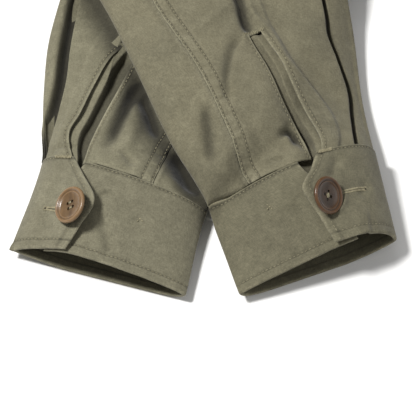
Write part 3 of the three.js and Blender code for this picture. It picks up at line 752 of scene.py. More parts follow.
class NodeBench:
    """Adds shader nodes to one material and joins their sockets."""

    def __init__(self, name: str) -> None:
        """Starts an empty material with an output.

        Args:
            name: Name of the material.
        """
        self.material = bpy.data.materials.new(name)
        self.material.use_nodes = True
        self.tree = self.material.node_tree
        self.tree.nodes.clear()
        self.shader = self.add("ShaderNodeBsdfPrincipled")
        output = self.tree.nodes.new("ShaderNodeOutputMaterial")
        self.tree.links.new(self.shader.outputs[0], output.inputs["Surface"])

    def add(self, kind: str, inputs: dict | None = None, **settings: object) -> bpy.types.Node:
        """Adds a node.

        Args:
            kind: Blender's name of the node type.
            inputs: Values or sockets by the name or number of the node's input.
            settings: Properties of the node.

        Returns:
            The node.
        """
        node = self.tree.nodes.new(kind)
        for key, value in settings.items():
            setattr(node, key, value)
        self.fill(node, inputs or {})
        return node

    def fill(self, node: bpy.types.Node, inputs: dict) -> None:
        """Sets or joins inputs of a node.

        Args:
            node: The node.
            inputs: Values or sockets by the name or number of the input.
        """
        for key, value in inputs.items():
            if isinstance(value, Socket):
                self.tree.links.new(value, node.inputs[key])
            else:
                node.inputs[key].default_value = value

    def noise(self, vector: Socket, scale: float, detail: float = 2.0) -> Socket:
        """Noise from 0 to 1 over a vector."""
        inputs = {"Vector": vector, "Scale": scale, "Detail": detail}
        return self.add("ShaderNodeTexNoise", inputs).outputs[0]

    def scaled(self, vector: Socket, scale: tuple[float, float, float]) -> Socket:
        """A vector, scaled by axis."""
        return self.add("ShaderNodeVectorMath", {0: vector, 1: scale}, operation="MULTIPLY").outputs[0]

    def ramp(self, value: Socket, low: float, high: float,
             out_low: float = 0.0, out_high: float = 1.0) -> Socket:
        """A value, spread from one range to another and held to it.

        Args:
            value: The value to spread.
            low: Start of its range.
            high: End of its range.
            out_low: What low becomes.
            out_high: What high becomes.

        Returns:
            The spread value.
        """
        inputs = {0: value, 1: low, 2: high, 3: out_low, 4: out_high}
        return self.add("ShaderNodeMapRange", inputs).outputs[0]

    def math(self, operation: str, a: object, b: object) -> Socket:
        """Two values joined by an operation."""
        return self.add("ShaderNodeMath", {0: a, 1: b}, operation=operation).outputs[0]

    def mix(self, factor: object, a: object, b: object, blend: str = "MIX") -> Socket:
        """Two colours mixed by a factor."""
        inputs = {0: factor, 6: a, 7: b}
        return self.add("ShaderNodeMix", inputs, data_type="RGBA", blend_type=blend).outputs[2]

    def attribute(self, name: str, output: str = "Fac") -> Socket:
        """A value that the mesh holds at its points."""
        return self.add("ShaderNodeAttribute", attribute_name=name).outputs[output]


def linear(red: int, green: int, blue: int) -> tuple[float, float, float, float]:
    """A display colour from 0 to 255 as Blender's linear colour with alpha.

    Args:
        red: Red channel.
        green: Green channel.
        blue: Blue channel.

    Returns:
        The four linear channels.
    """
    def one(value: int) -> float:
        """One channel, linear."""
        share = value / 255.0
        return share / 12.92 if share <= 0.04045 else ((share + 0.055) / 1.055) ** 2.4
    return (one(red), one(green), one(blue), 1.0)


@dataclass(frozen=True)
class CottonFinish:
    """Washed cotton with a fine thread grain and mottled dye, its edges lighter from wear and painted
    highlight, its grooves and creases darkened with painted shade.
    """

    name: str
    base: Colour
    deep: Colour
    worn_and_lit: Colour
    grain_depth: float = 0.00022
    roughness: float = 0.88

    def material(self) -> Material:
        """Builds the material.

        Returns:
            The material, which reads the mesh's thread values, its wear with painted highlight, and its
            painted shade.
        """
        bench = NodeBench(self.name)
        place = bench.add("ShaderNodeTexCoord").outputs["Object"]
        thread = bench.attribute("thread", "Vector")
        wear_and_highlight = bench.attribute("wear_and_highlight")
        painted_shade = bench.attribute("painted_shade")
        warp = bench.noise(bench.scaled(thread, (1.5, 0.32, 1.0)), 1.0, 3.0)
        weft = bench.noise(bench.scaled(thread, (0.3, 1.6, 1.0)), 1.0, 3.0)
        weave = bench.math("ADD", warp, weft)
        cloudy = bench.noise(place, 26.0, 3.0)
        patchy = bench.noise(place, 150.0, 4.0)
        fleck = bench.noise(place, 900.0, 2.0)
        colour = bench.mix(bench.ramp(cloudy, 0.32, 0.7, 0.0, 0.75), linear(*self.base), linear(*self.deep))
        colour = bench.mix(bench.ramp(patchy, 0.38, 0.72, 0.0, 0.2), colour, linear(*self.worn_and_lit))
        # Edges, seam folds and pucker crests are lighter, partly from wear and partly as painted highlight.
        rubbed_and_lit = bench.math("MULTIPLY", wear_and_highlight, bench.ramp(fleck, 0.3, 0.62, 0.35, 1.0))
        colour = bench.mix(rubbed_and_lit, colour, linear(*self.worn_and_lit))
        # Painted shade: stitch grooves, creases, the pleat, the vent's hollow and the cloth under the upper
        # sleeve's edge darken towards a near-black tone.
        colour = bench.mix(bench.math("MULTIPLY", painted_shade, 0.9), colour, linear(*PAINTED_SHADE_TONE))
        tone = bench.ramp(weave, 0.75, 1.25, 0.8, 1.18)
        tone = bench.math("MULTIPLY", tone, bench.ramp(fleck, 0.3, 0.7, 0.93, 1.07))
        grey = bench.add("ShaderNodeCombineColor", {0: tone, 1: tone, 2: tone}).outputs[0]
        colour = bench.mix(1.0, colour, grey, "MULTIPLY")
        height = bench.math("ADD", weave, bench.math("MULTIPLY", patchy, 1.4))
        bump = bench.add("ShaderNodeBump", {"Height": height, "Distance": self.grain_depth, "Strength": 0.9})
        bench.fill(bench.shader, {
            "Base Color": colour,
            "Normal": bump.outputs[0],
            "Roughness": self.roughness,
            "Sheen Weight": 0.12,
            "Sheen Roughness": 0.5,
            "Specular IOR Level": 0.25,
        })
        return bench.material


@dataclass(frozen=True)
class ThreadFinish:
    """Dull sewing thread with a twist."""

    name: str
    colour: Colour
    faded: Colour

    def material(self) -> Material:
        """Builds the material.

        Returns:
            The material.
        """
        bench = NodeBench(self.name)
        place = bench.add("ShaderNodeTexCoord").outputs["Object"]
        uneven = bench.noise(place, 420.0, 2.0)
        colour = bench.mix(bench.ramp(uneven, 0.35, 0.65), linear(*self.colour), linear(*self.faded))
        twist = bench.noise(place, 3800.0, 1.0)
        bump = bench.add("ShaderNodeBump", {"Height": twist, "Distance": 0.00006, "Strength": 0.8})
        bench.fill(bench.shader, {"Base Color": colour, "Normal": bump.outputs[0], "Roughness": 0.8})
        return bench.material


@dataclass(frozen=True)
class ButtonFinish:
    """Moulded brown button with faint swirls, lighter along its raised rings from wear and painted
    highlight.
    """

    name: str
    centre: Colour
    streak: Colour
    rim: Colour

    def material(self) -> Material:
        """Builds the material.

        Returns:
            The material, which reads the mesh's values of wear with painted highlight.
        """
        bench = NodeBench(self.name)
        place = bench.add("ShaderNodeTexCoord").outputs["Object"]
        swirl = bench.noise(bench.scaled(place, (1.0, 0.35, 1.0)), 260.0, 5.0)
        speck = bench.noise(place, 1700.0, 3.0)
        colour = bench.mix(bench.ramp(swirl, 0.38, 0.66), linear(*self.centre), linear(*self.streak))
        # Raised rings lighter from wear and painted highlight.
        rubbed_and_lit = bench.math("MULTIPLY", bench.attribute("wear_and_highlight"), bench.ramp(speck, 0.25, 0.6, 0.55, 1.0))
        colour = bench.mix(rubbed_and_lit, colour, linear(*self.rim))
        height = bench.math("ADD", speck, swirl)
        bump = bench.add("ShaderNodeBump", {"Height": height, "Distance": 0.00008, "Strength": 0.5})
        bench.fill(bench.shader, {
            "Base Color": colour,
            "Normal": bump.outputs[0],
            "Roughness": bench.ramp(speck, 0.3, 0.7, 0.26, 0.42),
            "Specular IOR Level": 0.4,
            "Coat Weight": 0.1,
            "Coat Roughness": 0.2,
        })
        return bench.material


@dataclass(frozen=True)
class TableFinish:
    """Smooth pale table top."""

    name: str
    colour: Colour

    def material(self) -> Material:
        """Builds the material.

        Returns:
            The material.
        """
        bench = NodeBench(self.name)
        place = bench.add("ShaderNodeTexCoord").outputs["Object"]
        faint = bench.ramp(bench.noise(place, 40.0, 3.0), 0.3, 0.7, 0.0, 0.06)
        colour = bench.mix(faint, linear(*self.colour), linear(236, 234, 230))
        bench.fill(bench.shader, {"Base Color": colour, "Roughness": 0.75, "Specular IOR Level": 0.2})
        return bench.material


@dataclass
class Wardrobe:
    """The jacket's finishes, each built once."""

    cotton: Material
    right_cotton: Material
    cuff: Material
    right_cuff: Material
    shade: Material
    thread: Material
    pale_thread: Material
    button: Material
    rust_button: Material

    @classmethod
    def made(cls) -> "Wardrobe":
        """Builds every finish."""
        return cls(
            cotton=CottonFinish(
                "left_cotton", (114, 110, 90), (97, 93, 75), (152, 147, 123),
            ).material(),
            # Darker copy of the cotton for the wearer's right sleeve, as painted shade.
            right_cotton=CottonFinish(
                "right_cotton", (106, 101, 81), (92, 88, 71), (138, 133, 110),
            ).material(),
            cuff=CottonFinish(
                "left_cuff_cotton", (111, 107, 88), (96, 92, 75), (146, 141, 118),
            ).material(),
            # Darker copy of the cuff cotton for the wearer's right cuff, as painted shade.
            right_cuff=CottonFinish(
                "right_cuff_cotton", (101, 97, 78), (87, 83, 67), (138, 132, 108),
            ).material(),
            # Painted shade: near-black cloth for the buttonhole's cut and eyelet.
            shade=CottonFinish(
                "slit_painted_shade", (52, 47, 38), (44, 40, 32), (70, 65, 52),
            ).material(),
            thread=ThreadFinish("seam_thread", (106, 100, 78), (132, 126, 100)).material(),
            pale_thread=ThreadFinish("pale_thread", (122, 115, 90), (150, 142, 114)).material(),
            button=ButtonFinish("brown_button", (101, 78, 51), (78, 59, 38), (124, 98, 68)).material(),
            rust_button=ButtonFinish("rust_button", (60, 42, 26), (45, 32, 20), (88, 60, 34)).material(),
        )


@dataclass
class Shop:
    """What every sub-assembly needs to make and fasten its pieces."""

    place: Place
    finish: Wardrobe

    def mesh(self, name: str, points: Array, faces: Array, material: Material) -> Piece:
        """Makes a smooth mesh object.

        Args:
            name: Name of the piece.
            points: Points in the part's plan.
            faces: Corner numbers, all faces with the same number of corners.
            material: Finish of the piece.

        Returns:
            The object, in metres in the frame.
        """
        data = bpy.data.meshes.new(name)
        data.from_pydata(self.place.metres(points).tolist(), [], faces.tolist())
        data.polygons.foreach_set("use_smooth", np.ones(len(data.polygons), bool))
        data.materials.append(material)
        piece = bpy.data.objects.new(name, data)
        bpy.context.scene.collection.objects.link(piece)
        return piece

    def fasten(self, piece: Piece, slot: Slot, nodes: tuple[str, ...] = ()) -> Piece:
        """Rides a piece on the garment's one body.

        Args:
            piece: The piece.
            slot: The record's material slot, not used.
            nodes: CAD nodes that it stands for.

        Returns:
            The piece.
        """
        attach(piece, "root")
        if nodes:
            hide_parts(*nodes)
        log.info("%s: %d points, %d faces", piece.name, len(piece.data.vertices), len(piece.data.polygons))
        return piece


def rounded(edge: Array, thickness: float) -> Array:
    """How far the cloth's face falls away towards a free edge.

    Args:
        edge: Distances from the free edge.
        thickness: Thickness of the cloth.

    Returns:
        The fall at each place, half the thickness at the edge itself.
    """
    radius = 0.6 * thickness
    off = np.clip(1.0 - edge / radius, 0.0, 1.0)
    return 0.46 * thickness * (1.0 - np.sqrt(1.0 - off * off))


@dataclass
class Cloth:
    """A wall of cloth, from rows and columns of points on its outer face."""

    outer: Array
    thickness: float
    edge: Array
    wear_and_highlight: Array
    painted_shade: Array
    keep: Array | None = None

    def normals(self) -> Array:
        """Directions out of the outer face.

        Returns:
            One direction for each point.
        """
        along = np.gradient(self.outer, axis=0)
        across = np.gradient(self.outer, axis=1)
        normal = unit(np.cross(across, along))
        top = np.unravel_index(np.argmax(self.outer[1:-1, 1:-1, 2]), self.outer[1:-1, 1:-1, 2].shape)
        return normal if normal[top[0] + 1, top[1] + 1, 2] > 0 else -normal

    def thread(self) -> Array:
        """Places on the flat cloth, across and along, for its grain.

        Returns:
            One place for each point, in millimetres.
        """
        rows, columns = self.outer.shape[:2]
        flat = np.zeros((rows, columns, 3))
        flat[..., 0] = distances(self.outer[rows // 2])[None, :]
        flat[..., 1] = distances(self.outer[:, columns // 2])[:, None]
        return flat

    def faces(self) -> Array:
        """Faces of both sides and of the rims at every free edge.

        Returns:
            Corner numbers, four a face.
        """
        rows, columns = self.outer.shape[:2]
        count = rows * columns
        ids = np.arange(count).reshape(rows, columns)
        keep = np.ones((rows - 1, columns - 1), bool) if self.keep is None else self.keep
        corners = np.stack([ids[:-1, :-1], ids[:-1, 1:], ids[1:, 1:], ids[1:, :-1]], axis=-1)
        parts = [corners[keep], corners[keep][:, ::-1] + count]
        around = np.pad(keep, 1)
        neighbours = (around[:-2, 1:-1], around[1:-1, 2:], around[2:, 1:-1], around[1:-1, :-2])
        for k, beside in enumerate(neighbours):
            rim = corners[keep & ~beside]
            start, end = rim[:, k], rim[:, (k + 1) % 4]
            parts.append(np.stack([end, start, start + count, end + count], axis=-1))
        return np.concatenate(parts)

    def piece(self, shop: Shop, name: str, material: Material) -> Piece:
        """Makes the wall of cloth.

        Args:
            shop: Makes the mesh.
            name: Name of the piece.
            material: Finish of the piece.

        Returns:
            The object, with its thread values, its wear with painted highlight, and its painted shade.
        """
        normal = self.normals()
        fall = rounded(self.edge, self.thickness)[..., None]
        faces = self.faces()
        both = np.concatenate([
            (self.outer - normal * fall).reshape(-1, 3),
            (self.outer - normal * (self.thickness - fall)).reshape(-1, 3),
        ])
        used, faces = np.unique(faces, return_inverse=True)
        faces = faces.reshape(-1, 4)
        points = both[used]
        first, second, third = points[faces[:, 0]], points[faces[:, 1]], points[faces[:, 2]]
        fourth = points[faces[:, 3]]
        volume = (first * np.cross(second, third)).sum() + (first * np.cross(third, fourth)).sum()
        if volume < 0:
            faces = faces[:, ::-1]
        made = shop.mesh(name, points, faces, material)
        flat = np.tile(self.thread().reshape(-1, 3), (2, 1))[used]
        attribute = made.data.attributes.new("thread", "FLOAT_VECTOR", "POINT")
        attribute.data.foreach_set("vector", flat.astype(np.float32).ravel())
        for key, values in (("wear_and_highlight", self.wear_and_highlight), ("painted_shade", self.painted_shade)):
            attribute = made.data.attributes.new(key, "FLOAT", "POINT")
            spread = np.tile(np.broadcast_to(values, self.outer.shape[:2]).ravel(), 2)[used]
            attribute.data.foreach_set("value", spread.astype(np.float32))
        return made


@dataclass
class StitchWork:
    """Stitches of one thread, collected and made as one piece."""

    name: str
    pitch: float = 3.1
    length: float = 2.0
    radius: float = 0.36
    stitches: list[tuple[Array, Array, Array, float, float]] = field(default_factory=list)

    def one(self, centre: Array, direction: Array, normal: Array, length: float, radius: float) -> None:
        """Adds one stitch."""
        self.stitches.append((centre, unit(direction), unit(normal), length, radius))

    def row(self, line: Array, normals: Array, sunk: float = 0.05) -> None:
        """Adds an even row of stitches along a line.

        Args:
            line: Points along the row.
            normals: Directions out of the cloth at those points.
            sunk: Depth of the thread's middle under the cloth's face.
        """
        run = distances(line)
        count = int(run[-1] / self.pitch)
        middles = (np.arange(count) + 0.5) * self.pitch
        for middle in middles:
            ends = [middle - self.length / 2.0, middle, middle + self.length / 2.0]
            a, centre, b = (np.array([np.interp(e, run, line[:, k]) for k in range(3)]) for e in ends)
            normal = np.array([np.interp(middle, run, normals[:, k]) for k in range(3)])
            self.one(centre - unit(normal) * sunk, b - a, normal, self.length, self.radius)

    def piece(self, shop: Shop, material: Material, slot: Slot) -> Piece:
        """Makes all the stitches as one mesh.

        Args:
            shop: Makes the mesh.
            material: Finish of the thread.
            slot: The record's material slot.

        Returns:
            The object.
        """
        sides, rings = 7, ((-0.5, 0.25), (-0.4, 0.8), (-0.2, 1.0), (0.2, 1.0), (0.4, 0.8), (0.5, 0.25))
        turn = np.linspace(0.0, TURN, sides, endpoint=False)
        points, faces = [], []
        for centre, direction, normal, length, radius in self.stitches:
            side = unit(np.cross(direction, normal))
            up = np.cross(side, direction)
            start = len(points) * sides * len(rings)
            loops = [
                centre + direction * (place * length)
                + radius * swell * (np.cos(turn)[:, None] * side + np.sin(turn)[:, None] * up)
                for place, swell in rings
            ]
            points.append(np.concatenate(loops))
            for ring in range(len(rings) - 1):
                for k in range(sides):
                    a, b = start + ring * sides + k, start + ring * sides + (k + 1) % sides
                    faces.append((a, b, b + sides, a + sides))
        made = shop.mesh(self.name, np.concatenate(points), np.array(faces), material)
        return shop.fasten(made, slot)


def on_face(surface: Surface, a: Array, b: Array, nudge: tuple[float, float]) -> tuple[Array, Array]:
    """Points on a surface and the directions out of it.

    Args:
        surface: Gives points for two parameters.
        a: First parameter along a line.
        b: Second parameter along the line.
        nudge: Small steps of the two parameters.

    Returns:
        The points, and the upward normals at them.
    """
    a, b = np.broadcast_arrays(np.asarray(a, float), np.asarray(b, float))
    across = surface(a + nudge[0], b) - surface(a - nudge[0], b)
    along = surface(a, b + nudge[1]) - surface(a, b - nudge[1])
    normal = unit(np.cross(across, along))
    flip = np.where(normal[:, 2:3] < 0, -1.0, 1.0)
    return surface(a, b), normal * flip


def between(anchors: list[tuple[Array, Array]]) -> Array:
    """Columns of angles through anchor lines.

    Args:
        anchors: The angles of each anchor line by row, and the shares of the way to it from the
            anchor before, where its columns stand.

    Returns:
        Angles by row and column.
    """
    columns = [anchors[0][0][:, None]]
    for (before, _), (line, shares) in zip(anchors[:-1], anchors[1:]):
        columns.append(lerp(before[:, None], line[:, None], np.asarray(shares)[None, :]))
    return np.concatenate(columns, axis=1)


def even(cells: int) -> Array:
    """Shares of the way in equal cells, without the start."""
    return np.arange(1, cells + 1) / cells


def closing(cells: int) -> Array:
    """Shares of the way in cells that grow smaller towards the end, without the start."""
    return 1.0 - (1.0 - even(cells)) ** 2.2


def opening(cells: int) -> Array:
    """Shares of the way in cells that start small, without the start."""
    return even(cells) ** 2.2


def above_share(form: SleeveForm, along: Array) -> Array:
    """Share of the way up the vent."""
    return (along - form.cuff_height) / VENT_LENGTH


@dataclass
class Sleeve:
    """A sleeve of one side: its top, its under part, its vent gusset and their stitching."""

    shop: Shop
    form: SleeveForm
    cotton: Material
    hollow_depth: float
    row_step: float = 1.35
    gusset_tuck: float = 20.0
    far_step: float = 4.0
    near_length: float = 215.0
    flat_top: tuple[float, float] = (0.19, 0.55)
    flat_under: tuple[float, float] = (0.15, 0.55)
    flat_gusset: tuple[float, float] = (0.035, 0.108)

    def rows(self) -> Array:
        """Distances along the sleeve where its rows stand.

        Returns:
            The distances, from the cuff to the armhole.
        """
        form = self.form
        start = form.cuff_height + SEAM_GAP
        vent_top = form.cuff_height + VENT_LENGTH
        near = form.cuff_height + self.near_length
        first = np.arange(start, vent_top, self.row_step)
        second = np.arange(vent_top, near, self.row_step)
        return np.concatenate([first, second, np.arange(near, form.length, self.far_step), [form.length]])

    def line_angle(self, along: Array, column: str, shift: float = 0.0) -> Array:
        """Angle of a line of the sleeve, a distance in millimetres towards the lateral side of it."""
        s = self.form.line(column, along) + shift / self.form.half(along)
        return np.arccos(np.clip(s, -0.999, 0.985))

    def values(self, angle: Array, along: Array) -> tuple[Array, Array]:
        """Wear with painted highlight, and painted shade, of the cloth.

        Args:
            angle: Angles round the sleeve.
            along: Distances along it.

        Returns:
            How worn and lit, and how darkened by painted shade, each place is, from 0 to 1.
        """
        form = self.form
        s, half = np.cos(angle), form.half(along)
        above = along - form.cuff_height
        top = np.sin(angle) > 0
        in_vent = 1.0 - ease(VENT_LENGTH - 4, VENT_LENGTH + 6, above)
        wear_and_highlight, painted_shade = np.zeros(angle.shape), np.zeros(angle.shape)
        from_seam = (s - form.line("seam", along)) * half
        # Painted highlight along the felled seam's folded edge and on its pucker crests, together with wear.
        wear_and_highlight += ridge(from_seam, 0.3, 0.9)
        middle = (from_seam - FELLED_WIDTH / 2.0) / (FELLED_WIDTH / 2.0)
        wear_and_highlight += 0.55 * np.exp(-(middle**4)) * np.clip(rumple(from_seam, along, (14, 2.5), 14), 0.0, 1.0)
        x, y = form.plan(s, along)
        # Painted shade in deep creases and beside the edge of the sleeve that lies over this one.
        deep = np.clip((-form.crease_lift(x, y) - 1.2) / 4.5, 0.0, 1.0)
        painted_shade += 0.9 * deep + 0.85 * form.under_cover(x, y)
        # Painted shade along the seam's stitch rows and beside its folded edge.
        painted_shade += 0.8 * ridge(from_seam, FELLED_STITCH, 0.6)
        painted_shade += 0.8 * ridge(from_seam - FELLED_WIDTH, -FELLED_INSET, 0.6)
        painted_shade += 0.7 * ridge(from_seam, -1.2, 1.1)
        from_outer = (s - form.line("outer", along)) * half
        # Painted shade down the pleat.
        painted_shade += ease(-0.2, 0.3, from_outer) * (1.0 - ease(0.3, 0.9, from_outer / form.pleat_width))
        from_flap = (s - form.line("flap", along)) * half
        # Painted highlight with wear along the vent's edges, painted shade along their stitch rows.
        wear_and_highlight += 0.75 * in_vent * ridge(from_flap, 0.4, 0.9)
        painted_shade += 0.65 * in_vent * ridge(from_flap, FLAP_STITCH, 0.55)
        from_under = (form.line("under", along) - s) * half
        wear_and_highlight += 0.75 * in_vent * ridge(from_under, 0.4, 0.9)
        painted_shade += 0.55 * in_vent * ridge(from_under, UNDER_STITCH, 0.55)
        # Lighter just above the cuff's top edge, as wear with painted highlight.
        wear_and_highlight += 0.5 * (1.0 - ease(0, 2.5, above))
        return np.where(top, np.clip(wear_and_highlight, 0, 1), 0.0), np.where(top, np.clip(painted_shade, 0, 1), 0.0)

    def wall(self, angles: Array, along: Array, keep: Array | None, edge: Array) -> Cloth:
        """A wall of the sleeve's cloth with the rows that turn round the shoulder.

        Args:
            angles: Angles by row and column.
            along: Distances along, by row.
            keep: Cells that have cloth, or None for all.
            edge: Distances from the vent's free edges, by row and column.

        Returns:
            The wall.
        """
        turns = np.linspace(0.0, 1.0, 9)[1:]
        grid_along = np.broadcast_to(along[:, None], angles.shape)
        main = self.form.face(angles, grid_along)
        last = np.broadcast_to(angles[-1][None, :], (len(turns), angles.shape[1]))
        end = self.form.turned(last, np.broadcast_to(turns[:, None], last.shape))
        wear_and_highlight, painted_shade = self.values(angles, grid_along)
        blank = np.zeros(last.shape)
        if keep is not None:
            keep = np.concatenate([keep, np.ones((len(turns), angles.shape[1] - 1), bool)])
        return Cloth(
            outer=np.concatenate([main, end]),
            thickness=SLEEVE_WALL,
            edge=np.concatenate([edge, blank + FAR_FROM_EDGE]),
            wear_and_highlight=np.concatenate([wear_and_highlight, blank]),
            painted_shade=np.concatenate([painted_shade, blank]),
            keep=keep,
        )

    def build_top(self) -> Piece:
        """The top of the sleeve, from the felled seam over the crown to under its lateral side.

        Returns:
            The piece.
        """
        form, along = self.form, self.rows()
        flat = np.zeros(len(along))
        vent_cells = 4
        anchors = [
            (flat + math.radians(-70), even(1)),
            (flat, even(10)),
            (self.line_angle(along, "outer", 2.5), closing(12)),
            (self.line_angle(along, "outer", -1), even(6)),
            (self.line_angle(along, "inner", 3), even(14)),
            (self.line_angle(along, "inner", 0), even(5)),
            (self.line_angle(along, "flap", 0), closing(14)),
            (self.line_angle(along, "under", 0), even(vent_cells)),
            (self.line_angle(along, "under", -10), opening(12)),
            (self.line_angle(along, "seam", FELLED_WIDTH + 6), even(26)),
            (self.line_angle(along, "seam", FELLED_WIDTH), even(6)),
            (self.line_angle(along, "seam", SEAM_GAP), even(12)),
        ]
        angles = between(anchors)
        flap_column = sum(len(shares) for _, shares in anchors[1:7])
        above = along - form.cuff_height
        open_rows = above < VENT_LENGTH - 1
        keep = np.ones((len(along) - 1, angles.shape[1] - 1), bool)
        keep[open_rows[:-1], flap_column:flap_column + vent_cells] = False
        s, half = np.cos(angles), form.half(along)[:, None]
        to_flap = (s - form.line("flap", along)[:, None]) * half
        to_under = (form.line("under", along)[:, None] - s) * half
        middle = (form.line("flap", along) + form.line("under", along))[:, None] / 2.0
        edge = np.where(s > middle, to_flap, to_under)
        edge = np.where(open_rows[:, None], np.maximum(edge, 0.0), FAR_FROM_EDGE)
        cloth = self.wall(angles, along, keep, edge)
        piece = cloth.piece(self.shop, f"sleeve_top_{form.side.value}_cloth", self.cotton)
        self.shop.fasten(piece, Slot.COTTON, (f"sleeve_top_{form.side.value}",))
        return piece

    def build_under(self) -> Piece:
        """The under part of the sleeve, from the felled seam round the medial side.

        Returns:
            The piece.
        """
        form, along = self.form, self.rows()[::2]
        along = np.unique(np.concatenate([along, [form.length]]))
        seam = np.arccos(form.line("seam", along) - 0.6 * SEAM_GAP / form.half(along))
        anchors = [
            (seam, even(1)),
            (np.full(len(along), math.pi), even(24)),
            (np.full(len(along), math.radians(290) - 0.006), even(20)),
        ]
        angles = between(anchors)
        cloth = self.wall(angles, along, None, np.full(angles.shape, FAR_FROM_EDGE))
        piece = cloth.piece(self.shop, f"sleeve_under_{form.side.value}_cloth", self.cotton)
        self.shop.fasten(piece, Slot.COTTON, (f"sleeve_under_{form.side.value}",))
        return piece

    def build_gusset(self) -> Piece:
        """The gusset that fills the vent from below.

        Returns:
            The piece.
        """
        form = self.form
        low = form.cuff_height - self.gusset_tuck
        along = np.linspace(low, form.cuff_height + VENT_LENGTH + 8, 90)[:, None]
        half = form.half(along)
        flap, under = form.line("flap", along), form.line("under", along)
        s = lerp(flap + 9 / half, under - 9 / half, np.linspace(0.0, 1.0, 64)[None, :])
        s, along = np.broadcast_arrays(s, along)
        angle = np.arccos(np.clip(s, -1.0, 1.0))
        outer = form.plain(angle, along) - form.outward(angle, along) * (SLEEVE_WALL + GUSSET_GAP)
        share = (flap - s) * half / ((flap - under) * half)
        vent = 1.0 - ease(0.86, 1.0, above_share(form, along))
        hollow = ease(0.34, 0.56, share) * (1.0 - 0.75 * ease(0.56, 1.0, share))
        below_under = np.minimum(form.fold_under(s, along, 2.5), 0.0) * ease(0.55, 0.95, share)
        x, y = outer[..., 0], outer[..., 1]
        troughs = np.min([form.crease_lift(x + step, y) for step in (-7.0, -3.5, 0.0, 3.5, 7.0)], axis=0)
        outer[..., 2] += below_under - self.hollow_depth * hollow * vent + np.minimum(troughs, 0.0)
        outer[..., 2] -= 1.2 * (1.0 - ease(0.0, 6.0, along - form.cuff_height))
        outer[..., 2] += 0.35 * rumple(s * half, along, (6, 15), 31)
        still = np.zeros(s.shape)
        # Painted shade in the gusset's hollow.
        shade = 0.1 * self.hollow_depth * ease(0.34, 0.56, share) * vent
        cloth = Cloth(outer, GUSSET_WALL, still + FAR_FROM_EDGE, still, shade)
        piece = cloth.piece(self.shop, f"vent_gusset_{form.side.value}_cloth", self.cotton)
        self.shop.fasten(piece, Slot.COTTON, (f"vent_gusset_{form.side.value}",))
        return piece

    def build_stitching(self) -> None:
        """The rows of stitches along the felled seam and the vent's edges."""
        form = self.form
        work = StitchWork(f"sleeve_{form.side.value}_stitching")
        start = form.cuff_height + 1.5
        whole = np.arange(start, form.length - 2, 1.5)
        vent = np.arange(start, form.cuff_height + VENT_LENGTH - 3, 1.5)
        rows = [
            (whole, "seam", FELLED_STITCH),
            (whole, "seam", FELLED_WIDTH - FELLED_INSET),
            (vent, "flap", FLAP_STITCH),
            (vent, "under", -UNDER_STITCH),
        ]
        for along, column, shift in rows:
            angle = self.line_angle(along, column, shift)
            line, normals = on_face(form.face, angle, along, SLEEVE_NUDGE)
            work.row(line, normals)
        work.piece(self.shop, self.shop.finish.thread, Slot.COTTON)
        knots = StitchWork(f"vent_bartack_{form.side.value}")
        level = form.cuff_height + VENT_LENGTH + 1.0
        beyond = 3 / form.half(level)
        ends = form.line("under", level) - beyond, form.line("flap", level) + beyond
        for k, s in enumerate(np.linspace(*ends, 16)):
            point, normal = on_face(form.face, np.array([math.acos(s)]), np.array([level]), SLEEVE_NUDGE)
            lean = np.array([0.3 if k % 2 else -0.3, 1.0, 0.0])
            knots.one(point[0] + normal[0] * 0.1, lean, normal[0], 3.0, 0.3)
        knots.piece(self.shop, self.shop.finish.thread, Slot.COTTON)

    def build(self) -> None:
        """Makes every piece of the sleeve."""
        self.build_top()
        self.build_under()
        self.build_gusset()
        self.build_stitching()


